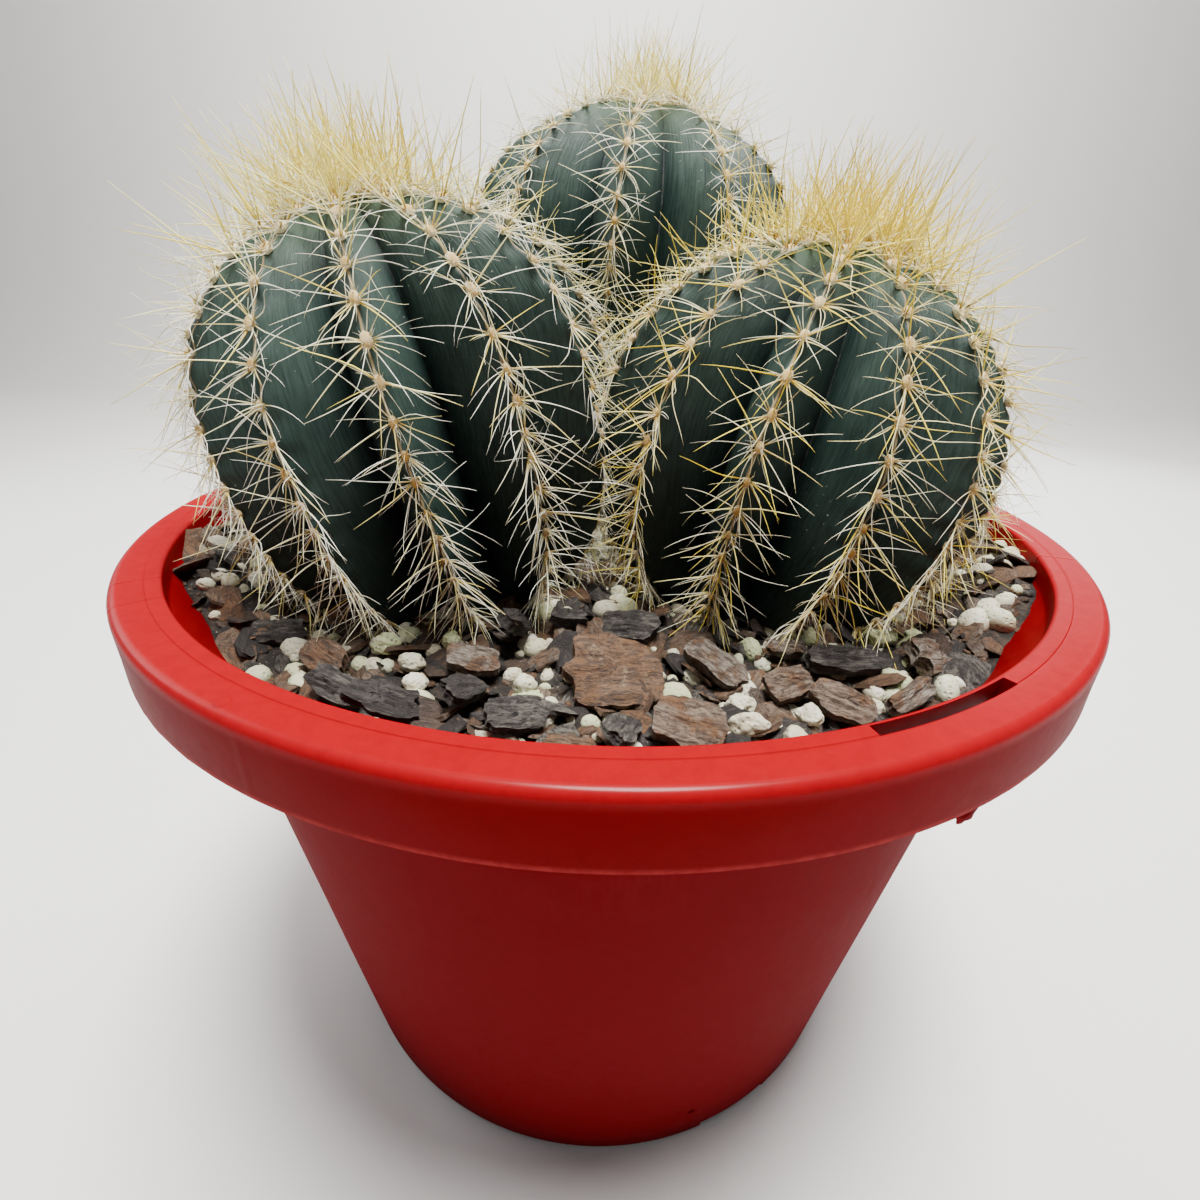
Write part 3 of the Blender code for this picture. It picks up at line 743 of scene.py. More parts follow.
class Recipe(Graph):
    """A Geometry Nodes tree with named inputs, which turns one mesh into another."""

    def __init__(self, name: str) -> None:
        """Start the tree with its geometry input."""
        super().__init__(bpy.data.node_groups.new(name, "GeometryNodeTree"))
        for direction in ("INPUT", "OUTPUT"):
            self.tree.interface.new_socket("Geometry", in_out=direction, socket_type="NodeSocketGeometry")
        self.entrance = self.tree.nodes.new("NodeGroupInput")
        self.identifiers: dict[str, str] = {}
        self.source = Signal(self, self.entrance.outputs["Geometry"])

    def size(self, name: str, default: float | int) -> Signal:
        """Add a named input.

        Args:
            name: Its name.
            default: Its default, whose type is the input's.

        Returns:
            Its value.
        """
        kind = "NodeSocketInt" if isinstance(default, int) else "NodeSocketFloat"
        socket = self.tree.interface.new_socket(name, in_out="INPUT", socket_type=kind)
        socket.default_value = default
        self.identifiers[name] = socket.identifier
        return Signal(self, self.entrance.outputs[name])

    def chance(self, seed: Signal, salt: int, low: float = 0.0, high: float = 1.0) -> Signal:
        """Return a random number for each element.

        Args:
            seed: The tree's seed.
            salt: Number that sets this draw apart from the others.
            low: Lowest value.
            high: Highest value.

        Returns:
            The number.
        """
        inputs = {"Min": low, "Max": high, "Seed": seed + float(salt)}
        return self.node("FunctionNodeRandomValue", {"data_type": "FLOAT"}, inputs)

    def pick(self, seed: Signal, salt: int, highest: int) -> Signal:
        """Return a random whole number from 0 for each element."""
        inputs = {"Min": 0, "Max": highest, "Seed": seed + float(salt)}
        return self.node("FunctionNodeRandomValue", {"data_type": "INT"}, inputs)

    def named(self, name: str, kind: str = "FLOAT") -> Signal:
        """Return a mesh attribute in this tree."""
        return self.node("GeometryNodeInputNamedAttribute", {"data_type": kind}, {"Name": name})

    def store(self, geometry: Signal, name: str, value: Any, kind: str = "FLOAT") -> Signal:
        """Store an attribute on the points.

        Args:
            geometry: The geometry.
            name: Name of the attribute.
            value: Its value.
            kind: Its type.

        Returns:
            The geometry that holds it.
        """
        settings = {"data_type": kind, "domain": "POINT"}
        inputs = {"Geometry": geometry, "Name": name, "Value": value}
        return self.node("GeometryNodeStoreNamedAttribute", settings, inputs)

    def move(self, geometry: Signal, offset: Any) -> Signal:
        """Move each point by an offset."""
        return self.node("GeometryNodeSetPosition", {}, {"Geometry": geometry, "Offset": offset})

    def place(self) -> Signal:
        """Return each point's position."""
        return self.node("GeometryNodeInputPosition")

    def turned_to(self, direction: Signal, toward: Signal, axis: str = "X") -> Signal:
        """Return the rotation that points Z in a direction and another axis towards a second one.

        Args:
            direction: Where Z points.
            toward: Where the other axis turns, as far as Z lets it.
            axis: The other axis.

        Returns:
            The rotation.
        """
        aligned = self.node("FunctionNodeAlignRotationToVector", {"axis": "Z"}, {"Vector": direction})
        settings = {"axis": axis, "pivot_axis": "Z"}
        inputs = {"Rotation": aligned, "Vector": toward}
        return self.node("FunctionNodeAlignRotationToVector", settings, inputs)

    def scatter(
        self, points: Signal, shapes: list[Signal], which: Any, turn: Signal, scale: Signal
    ) -> Signal:
        """Put one of several shapes on each point.

        Args:
            points: The points.
            shapes: The shapes to choose from.
            which: Number of the shape.
            turn: Rotation of each.
            scale: Scale of each, a number or a vector.

        Returns:
            The instances.
        """
        each = [self.node("GeometryNodeGeometryToInstance", {}, {"Geometry": shape}) for shape in shapes]
        every = self.node("GeometryNodeJoinGeometry", {}, {"Geometry": list(reversed(each))})
        inputs = {
            "Points": points,
            "Instance": every,
            "Pick Instance": True,
            "Instance Index": which,
            "Rotation": turn,
            "Scale": scale,
        }
        return self.node("GeometryNodeInstanceOnPoints", {}, inputs)

    def close(self, geometry: Signal, material: bpy.types.Material, rounded: bool = True) -> None:
        """End the tree with real meshes in their material.

        Args:
            geometry: The instances.
            material: Their material.
            rounded: Whether they are smooth shaded.
        """
        real = self.node("GeometryNodeRealizeInstances", {}, {"Geometry": geometry})
        shaded = self.node("GeometryNodeSetShadeSmooth", {}, {"Geometry": real, "Shade Smooth": rounded})
        painted = self.node("GeometryNodeSetMaterial", {}, {"Geometry": shaded, "Material": material})
        self.node("NodeGroupOutput", {}, {"Geometry": painted})

    def grow(
        self, name: str, source: bpy.types.Mesh, sizes: dict[str, float | int], keep: Sequence[str]
    ) -> bpy.types.Object:
        """Run the tree on a mesh.

        Args:
            name: Name of the object made.
            source: The mesh that goes in.
            sizes: Values of the named inputs.
            keep: Attributes that the material reads. The others are removed.

        Returns:
            An object with the plain mesh that comes out.
        """
        helper = link(name + "_source", source)
        modifier = helper.modifiers.new(self.tree.name, "NODES")
        modifier.node_group = self.tree
        for key, value in sizes.items():
            modifier[self.identifiers[key]] = value
        mesh = evaluated_mesh(helper)
        helper.modifiers.clear()
        remove(helper)
        mesh.name = name
        for attribute in [item.name for item in mesh.attributes]:
            if attribute in ("position", "sharp_face", "material_index") or attribute.startswith("."):
                continue
            if attribute not in keep:
                mesh.attributes.remove(mesh.attributes[attribute])
        return link(name, mesh)


class SpineRecipe(Recipe):
    """Spines that stand round each areole: thin, tapered and slightly bent horns."""

    def __init__(self, material: bpy.types.Material, name: str, steps: int = 7, sides: int = 3) -> None:
        """Write the tree.

        Args:
            material: Material of the spines.
            name: Name of the tree.
            steps: Number of lengths that each spine bends at.
            sides: Number of its sides.
        """
        super().__init__(name)
        count = self.size("Spines in an areole", 12)
        length = self.size("Length", 0.014)
        spread = self.size("Length spread", 0.3)
        tilt = self.size("Tilt", 1.2)
        tilt_spread = self.size("Tilt spread", 0.2)
        thickness = self.size("Thickness", 0.0004)
        bend = self.size("Bend", 0.2)
        droop = self.size("Droop", 0.4)
        lift = self.size("Lift", 0.3)
        pale = self.size("Pale", 0.0)
        sideways = self.size("Sideways", 0.0)
        seed = self.size("Seed", 1)
        amount = count * self.named("many")
        copies = self.node(
            "GeometryNodeDuplicateElements", {"domain": "POINT"}, {"Geometry": self.source, "Amount": amount}
        )
        order = copies.sibling("Duplicate Index")
        share = order / self.math("MAXIMUM", amount, 1.0)
        roll = share * math.tau + self.named("phase") + self.chance(seed, 1, -0.45, 0.45)
        fan = self.math("SINE", roll) * 0.5 + self.math("SINE", roll * 2.0) * 0.35
        roll = roll + fan * sideways
        lean = tilt + tilt_spread * self.chance(seed, 2, -1.0, 1.0)
        out = self.named("out", "FLOAT_VECTOR")
        up = self.named("up", "FLOAT_VECTOR")
        side = self.vector("CROSS_PRODUCT", up, out)
        rise = self.vector("SCALE", up, self.math("COSINE", roll))
        swing = self.vector("SCALE", side, self.math("SINE", roll))
        ring = self.vector("ADD", rise, swing)
        straight = self.vector("SCALE", out, self.math("COSINE", lean))
        spreading = self.vector("SCALE", ring, self.math("SINE", lean))
        direction = self.vector("ADD", straight, spreading)
        age = self.named("age")
        pull = self.join(0.0, 0.0, droop * age * -1.0)
        direction = self.vector("ADD", direction, pull)
        raised = self.vector("SCALE", up, lift * (1.0 - age))
        direction = self.vector("ADD", direction, raised)
        size = length * (1.0 + spread * self.chance(seed, 3, -1.0, 1.0)) * self.named("room")
        points = self.store(copies, "tint", self.named("warm") + self.chance(seed, 4, -0.28, 0.28))
        paleness = pale + age * 0.3 + self.named("warm") - 0.4 + self.chance(seed, 5, -0.2, 0.2)
        points = self.store(points, "pale", paleness)
        points = self.move(points, self.vector("SCALE", ring, self.chance(seed, 6, 0.0002, 0.0010)))
        shapes = [
            self.spine(steps, sides, bend * factor, curl, thickness / length)
            for factor, curl in ((0.35, 0.10), (0.8, -0.12), (1.3, 0.18), (1.0, 0.0))
        ]
        sway = (self.chance(seed, 7, -0.8, 0.8), self.chance(seed, 9, -0.8, 0.8))
        sag = self.join(*sway, self.chance(seed, 10, -1.8, 0.2))
        turn = self.turned_to(direction, sag)
        spines = self.scatter(points, shapes, self.pick(seed, 8, 3), turn, size)
        self.close(spines, material)

    def spine(self, steps: int, sides: int, bend: Signal, curl: float, slender: Signal) -> Signal:
        """Make one spine of unit length along Z.

        Args:
            steps: Number of lengths that it bends at.
            sides: Number of its sides.
            bend: How far its tip stands off, as a share of its length.
            curl: How much of that is an S.
            slender: Thickness at its foot, as a share of its length.

        Returns:
            The mesh.
        """
        ends = {"Start": (0.0, 0.0, 0.0), "End": (0.0, 0.0, 1.0)}
        line = self.node("GeometryNodeCurvePrimitiveLine", {}, ends)
        curve = self.node("GeometryNodeResampleCurve", {}, {"Curve": line, "Count": steps + 1})
        along = self.node("GeometryNodeSplineParameter")
        bow = bend * along * along
        wave = bend * curl * self.math("SINE", along * 5.2)
        curve = self.move(curve, self.join(bow, wave, 0.0))
        curve = self.store(curve, "along", along)
        radius = slender * 0.5 * (1.0 - along * 0.78)
        sizes = {"Resolution": sides, "Radius": 1.0}
        rim = self.node("GeometryNodeCurvePrimitiveCircle", {"mode": "RADIUS"}, sizes)
        inputs = {"Curve": curve, "Profile Curve": rim, "Scale": radius, "Fill Caps": True}
        return self.node("GeometryNodeCurveToMesh", {}, inputs)


class WoolRecipe(Recipe):
    """A low felted dome on each areole."""

    def __init__(self, material: bpy.types.Material) -> None:
        """Write the tree with this material."""
        super().__init__("areole_wool")
        wide = self.size("Width", 0.0011)
        tall = self.size("Height", 0.0008)
        seed = self.size("Seed", 1)
        out = self.named("out", "FLOAT_VECTOR")
        up = self.named("up", "FLOAT_VECTOR")
        ball = self.node("GeometryNodeMeshUVSphere", {}, {"Segments": 8, "Rings": 5, "Radius": 1.0})
        place = self.place()
        lumps = self.noise(place, 1.7, 2.0) - 0.5
        ball = self.move(ball, self.vector("SCALE", place, lumps * 0.7))
        height = self.split(self.place())[2]
        ball = self.store(ball, "tuft", height)
        turned = self.turned_to(out, up, "Y")
        grown = wide * self.chance(seed, 1, 0.8, 1.2) * self.named("plump")
        scale = self.join(grown * 0.85, grown * 1.25, tall * self.named("plump"))
        self.close(self.scatter(self.source, [ball], 0, turned, scale), material)


class LitterRecipe(Recipe):
    """Loose bits strewn over the mix: crumbs, small flakes or grit."""

    def __init__(
        self, material: bpy.types.Material, name: str, shapes: Callable[["LitterRecipe"], list[Signal]]
    ) -> None:
        """Write the tree.

        Args:
            material: Material of the bits.
            name: Name of the tree.
            shapes: Makes the unit shapes that the bits are chosen from.
        """
        super().__init__(name)
        density = self.size("Bits in a square metre", 20000.0)
        apart = self.size("Least distance", 0.0005)
        small = self.size("Smallest", 0.0004)
        large = self.size("Largest", 0.0014)
        flat = self.size("Flatness", 0.6)
        tip = self.size("Tip", 0.6)
        sink = self.size("Sink", 0.0)
        seed = self.size("Seed", 1)
        settings = {"distribute_method": "POISSON"}
        inputs = {
            "Mesh": self.source,
            "Distance Min": apart,
            "Density Max": density,
            "Density Factor": self.named("open"),
            "Seed": seed,
        }
        points = self.node("GeometryNodeDistributePointsOnFaces", settings, inputs)
        normal = points.sibling("Normal")
        points = self.move(points, self.join(0.0, 0.0, sink * -1.0))
        points = self.store(points, "tone", self.chance(seed, 1))
        points = self.store(points, "ashen", self.chance(seed, 2, -0.3, 0.7))
        points = self.store(points, "green", self.chance(seed, 3, -0.8, 0.9))
        sway = self.join(self.chance(seed, 4, -1.0, 1.0), self.chance(seed, 5, -1.0, 1.0), 0.0)
        direction = self.vector("ADD", normal, self.vector("SCALE", sway, tip))
        spin = self.join(self.chance(seed, 6, -1.0, 1.0), self.chance(seed, 10, -1.0, 1.0), 0.0)
        turn = self.turned_to(direction, spin)
        size = self.chance(seed, 7) ** 2.2 * (large - small) + small
        scale = self.join(size, size * self.chance(seed, 8, 0.55, 1.0), size * flat)
        made = shapes(self)
        which = self.pick(seed, 9, len(made) - 1)
        self.close(self.scatter(points, made, which, turn, scale), material, shapes is pebble_shapes)


def pebble_shapes(recipe: LitterRecipe) -> list[Signal]:
    """Return three rounded pebbles of unit radius."""
    return crumb_shapes(recipe, 0.5)


def crumb_shapes(recipe: LitterRecipe, rough: float = 1.5) -> list[Signal]:
    """Return three angular crumbs of unit radius, with their grain in millimetres."""
    shapes = []
    for index in range(3):
        ball = recipe.node("GeometryNodeMeshIcoSphere", {}, {"Radius": 1.0, "Subdivisions": 2})
        place = recipe.place()
        shifted = recipe.vector("ADD", place, (index * 7.3, index * 3.1, 0.0))
        dent = recipe.noise(shifted, 1.1, 2.0) - 0.5
        ball = recipe.move(ball, recipe.vector("SCALE", place, dent * rough))
        grain = recipe.vector("ADD", recipe.vector("SCALE", recipe.place(), 2.0), (index * 5.0, 0.0, 0.0))
        shapes.append(recipe.store(ball, "grain", grain, "FLOAT_VECTOR"))
    return shapes


def flake_shapes(recipe: LitterRecipe) -> list[Signal]:
    """Return three small broken flakes of unit radius, with their grain in millimetres."""
    shapes = []
    for index in range(3):
        sizes = {"Vertices": 9 + index, "Side Segments": 1, "Fill Segments": 2, "Radius": 1.0, "Depth": 0.5}
        slab = recipe.node("GeometryNodeMeshCylinder", {"fill_type": "TRIANGLE_FAN"}, sizes)
        place = recipe.place()
        shifted = recipe.vector("ADD", place, (index * 9.1, 2.0, 5.0))
        dent = recipe.noise(shifted, 1.0, 3.0) - 0.5
        slab = recipe.move(slab, recipe.vector("SCALE", place, dent * 1.7))
        curl = recipe.split(recipe.place())[0]
        slab = recipe.move(slab, recipe.join(0.0, 0.0, curl * curl * (index - 1) * 0.5))
        grain = recipe.vector("ADD", recipe.vector("SCALE", recipe.place(), 4.0), (index * 11.0, 0.0, 0.0))
        shapes.append(recipe.store(slab, "grain", grain, "FLOAT_VECTOR"))
    return shapes


# The pot


@dataclass(frozen=True)
class Pot:
    """The moulded pot: a tapered wall under a broad rolled rim, with a tag slot and drain notches."""

    finish: RedPlastic
    rim_radius: float = 100.0
    height: float = 134.3
    base_radius: float = 75.2
    rim_width: float = 7.7
    skirt_height: float = 11.2
    skirt_flare: float = 0.2
    rim_thickness: float = 2.0
    wall: float = 2.0
    floor: float = 2.4
    collar_set_back: float = 2.8
    tab_azimuth: float = -63.0
    tab_reach: float = 99.5
    tab_height: float = 122.5
    tab_half: tuple[float, float, float] = (0.5, 1.8, 1.7)
    collar_drop: float = 4.0
    collar_flare: float = 6.0
    slot_lip: float = 0.8
    slot_width: float = 1.8
    slot_depth: float = 6.0
    slot_from: float = -70.6
    slot_to: float = -55.3
    notches: int = 4
    notch_first: float = -62.3
    notch_span: float = 14.5
    notch_height: float = 3.0
    steps: int = 288

    @property
    def mouth(self) -> float:
        """Return the inner radius of the rim."""
        return self.rim_radius - self.rim_width

    @property
    def skirt_foot(self) -> float:
        """Return the height of the skirt's lower edge."""
        return self.height - self.skirt_height

    def outer(self, height: float) -> float:
        """Return the outer radius of the tapered wall."""
        top = self.mouth - self.collar_set_back
        return self.base_radius + (top - self.base_radius) * height / self.skirt_foot

    def inner(self, height: float) -> float:
        """Return the inner radius of the wall, with the flared collar under the mouth."""
        collar_foot = self.height - self.collar_drop - self.collar_flare
        if height <= collar_foot:
            return self.outer(height) - self.wall
        foot = self.outer(collar_foot) - self.wall
        return foot + (self.mouth - foot) * min((height - collar_foot) / self.collar_flare, 1.0)

    def fillet(
        self, radius: float, height: float, size: float, start: float, end: float
    ) -> list[tuple[float, float]]:
        """Return an arc of the profile.

        Args:
            radius: Radius of the arc's middle from the pot's axis.
            height: Height of the arc's middle.
            size: Radius of the arc.
            start: Angle of its first point, in degrees from outwards.
            end: Angle of its last point.

        Returns:
            Six points of (radius, height).
        """
        turns = [math.radians(start + (end - start) * step / 5) for step in range(6)]
        return [(radius + size * math.cos(turn), height + size * math.sin(turn)) for turn in turns]

    def profile(self) -> list[tuple[float, float]]:
        """Return the section from the middle of the floor up inside, over the rim and down outside."""
        top = self.height
        foot = self.skirt_foot
        rim = self.rim_radius
        edge = rim + self.skirt_flare
        under = top - self.rim_thickness
        collar_top = top - self.collar_drop
        collar_foot = collar_top - self.collar_flare
        seam = self.mouth + 2.5
        points = [(0.4, self.floor), (40.0, self.floor), (self.inner(self.floor) - 1.4, self.floor)]
        points += [(self.inner(self.floor) - 0.3, self.floor + 0.4), (self.inner(5.0), 5.0)]
        points += [(self.inner(level), level) for level in (40.0, 80.0, collar_foot - 2.0, collar_foot)]
        points += [(self.mouth - 0.25, collar_top - 0.6), (self.mouth, collar_top)]
        points += [(self.mouth, top - 1.2), *self.fillet(self.mouth + 0.7, top - 0.7, 0.7, 180.0, 90.0)]
        points += [(seam - 0.35, top), (seam - 0.12, top), (seam, top - 0.11), (seam + 0.12, top - 0.02)]
        points += [(seam + 0.5, top), (rim - 3.0, top)]
        points += self.fillet(rim - 1.5, top - 1.5, 1.5, 90.0, 0.0)
        points += [(rim + 0.05, top - 6.0), (edge, foot + 0.9)]
        points += [(edge - 0.02, foot + 0.25), (edge - 0.3, foot)]
        points += [(edge - self.rim_thickness + 0.3, foot), (edge - self.rim_thickness, foot + 0.4)]
        points += [(rim - self.rim_thickness, under), (self.mouth + self.wall, under)]
        points += [(self.mouth + self.wall, collar_top), (self.outer(collar_foot), collar_foot)]
        points += [(self.outer(level), level) for level in (115.0, 90.0, 60.0, 30.0, 10.0)]
        points += [(self.outer(1.2), 1.2), (self.base_radius - 0.5, 0.25), (self.base_radius - 1.3, 0.0)]
        points += [(self.base_radius - 8.0, 0.0), (40.0, 0.0), (0.4, 0.0)]
        return points

    def burr(self, radius: float, height: float, turn: float) -> float:
        """Return how far the skirt's lower edge hangs down in moulding flash.

        Args:
            radius: Distance from the pot's axis.
            height: Height of the point.
            turn: Azimuth of the point, in degrees.

        Returns:
            The drop, in millimetres.
        """
        if abs(height - self.skirt_foot) > 0.3 or radius < self.rim_radius - 0.3:
            return 0.0
        along = smooth(turn, -158.0, -146.0) * (1.0 - smooth(turn, -130.0, -118.0))
        ragged = noise.noise(Vector((turn * 0.55, 3.0, 0.0)))
        everywhere = 0.12 * abs(noise.noise(Vector((turn * 0.3, 7.0, 0.0))))
        return everywhere + along * max(0.15 + 0.75 * ragged, 0.0)

    def sector(
        self, inner: float, outer: float, start: float, end: float, low: float, high: float
    ) -> bpy.types.Object:
        """Make a cutter between two radii, two azimuths and two heights.

        Args:
            inner: Smaller radius.
            outer: Larger radius.
            start: First azimuth, in degrees.
            end: Last azimuth.
            low: Lower height.
            high: Upper height.

        Returns:
            The cutter.
        """
        turns = [math.radians(start + (end - start) * step / 24) for step in range(25)]
        outline = [(outer * math.cos(turn), outer * math.sin(turn)) for turn in turns]
        outline += [(inner * math.cos(turn), inner * math.sin(turn)) for turn in reversed(turns)]
        points = [(x, y, level) for level in (low, high) for x, y in outline]
        count = len(outline)
        faces = ring_faces(2, count) + [tuple(reversed(range(count))), tuple(range(count, 2 * count))]
        return link("cutter", mesh_from(points, faces, "cutter"))

    def vent(self, turn_deg: float, height: float, radius: float) -> bpy.types.Object:
        """Make the cutter of the small round pit low on the wall.

        Args:
            turn_deg: Azimuth of the pit.
            height: Its height.
            radius: Its radius.

        Returns:
            The cutter.
        """
        bm = bmesh.new()
        bmesh.ops.create_icosphere(bm, subdivisions=3, radius=radius * MM)
        turn = math.radians(turn_deg)
        reach = (self.outer(height) + 0.15) * MM
        place = Vector((reach * math.cos(turn), reach * math.sin(turn), height * MM))
        bmesh.ops.translate(bm, verts=bm.verts, vec=place)
        mesh = bpy.data.meshes.new("cutter")
        bm.to_mesh(mesh)
        bm.free()
        return link("cutter", mesh)

    def turned(self) -> bpy.types.Mesh:
        """Return the lathed pot, closed at both ends of its axis."""
        profile = self.profile()
        points = []
        for radius, height in profile:
            for step in range(self.steps):
                turn = math.tau * step / self.steps
                azimuth = math.degrees(turn) - 360.0 if turn > math.pi else math.degrees(turn)
                read = Vector((math.cos(turn) * 1.3, math.sin(turn) * 1.3, height * 0.02))
                waver = 0.10 * noise.noise(read)
                reach = radius + (waver if radius > 20.0 else 0.0)
                drop = self.burr(radius, height, azimuth)
                points.append((reach * math.cos(turn), reach * math.sin(turn), height - drop))
        # The section runs up inside and down outside, so its faces look out of the plastic when turned round.
        faces = [tuple(reversed(face)) for face in ring_faces(len(profile), self.steps)]
        last = (len(profile) - 1) * self.steps
        faces.append(tuple(range(self.steps)))
        faces.append(tuple(reversed(range(last, last + self.steps))))
        return mesh_from(points, faces, "pot_body")

    def flash_tab(self) -> tuple[list[Vector], list[tuple[int, ...]]]:
        """Return the small ragged tab of flash that hangs under the skirt on the right."""
        bm = bmesh.new()
        bmesh.ops.create_icosphere(bm, subdivisions=3, radius=1.0)
        middle = math.radians(self.tab_azimuth)
        thick, wide, tall = self.tab_half
        out = Vector((math.cos(middle), math.sin(middle), 0.0))
        along = Vector((-math.sin(middle), math.cos(middle), 0.0))
        for vertex in bm.verts:
            lump = 1.0 + 0.45 * noise.noise(vertex.co * 1.6 + Vector((4.0, 0.0, 1.0)))
            shape = vertex.co * lump
            sideways = out * (self.tab_reach + shape.x * thick) + along * (shape.y * wide)
            vertex.co = sideways + Vector((0, 0, self.tab_height + shape.z * tall))
        points = [vertex.co.copy() for vertex in bm.verts]
        faces = [tuple(vertex.index for vertex in face.verts) for face in bm.faces]
        bm.free()
        return points, faces

    def build(self) -> list[bpy.types.Object]:
        """Make the pot and its tab of flash."""
        body = link("red_pot", self.turned())
        lip = self.mouth + self.slot_lip
        low, high = self.height - self.slot_depth, self.height + 1.0
        cutters = [self.sector(lip, lip + self.slot_width, self.slot_from, self.slot_to, low, high)]
        for index in range(self.notches):
            middle = self.notch_first + 360.0 / self.notches * index
            half = self.notch_span / 2
            near, far = self.base_radius - 8.0, self.base_radius + 8.0
            cutters.append(self.sector(near, far, middle - half, middle + half, -1.0, self.notch_height))
        cutters.append(self.vent(-72.6, 13.5, 0.9))
        for cutter in cutters:
            boolean = body.modifiers.new("cut", "BOOLEAN")
            boolean.operation = "DIFFERENCE"
            boolean.solver = "EXACT"
            boolean.object = cutter
        body.data = evaluated_mesh(body)
        body.modifiers.clear()
        for cutter in cutters:
            remove(cutter)
        body.data.set_sharp_from_angle(angle=math.radians(38))
        material = self.finish.build()
        body.data.materials.clear()
        body.data.materials.append(material)
        tab = link("rim_flash", mesh_from(*self.flash_tab(), "rim_flash"))
        tab.data.materials.append(material)
        return [finish_piece(body, self.finish, "pot"), finish_piece(tab, self.finish)]


# The plant


@dataclass
class Areoles:
    """The areoles of one globe, one row of each array for each."""

    place: np.ndarray
    out: np.ndarray
    up: np.ndarray
    age: np.ndarray
    young: np.ndarray
    room: np.ndarray
    warm: np.ndarray
    phase: np.ndarray

    def mesh(self, name: str, many: np.ndarray, plump: np.ndarray | None = None) -> bpy.types.Mesh:
        """Make the mesh of loose points that a recipe starts from.

        Args:
            name: Name of the mesh.
            many: Share of the full number of spines that each areole has.
            plump: Size of each tuft of wool.

        Returns:
            The mesh, with the areoles as attributes.
        """
        chosen = many > 0.0
        mesh = mesh_from(self.place[chosen], [], name)
        values = {
            "out": self.out,
            "up": self.up,
            "age": self.age,
            "room": self.room,
            "warm": self.warm,
            "phase": self.phase,
            "many": many,
            "plump": np.ones(len(many)) if plump is None else plump,
        }
        for key, value in values.items():
            add_attribute(mesh, key, value[chosen])
        return mesh


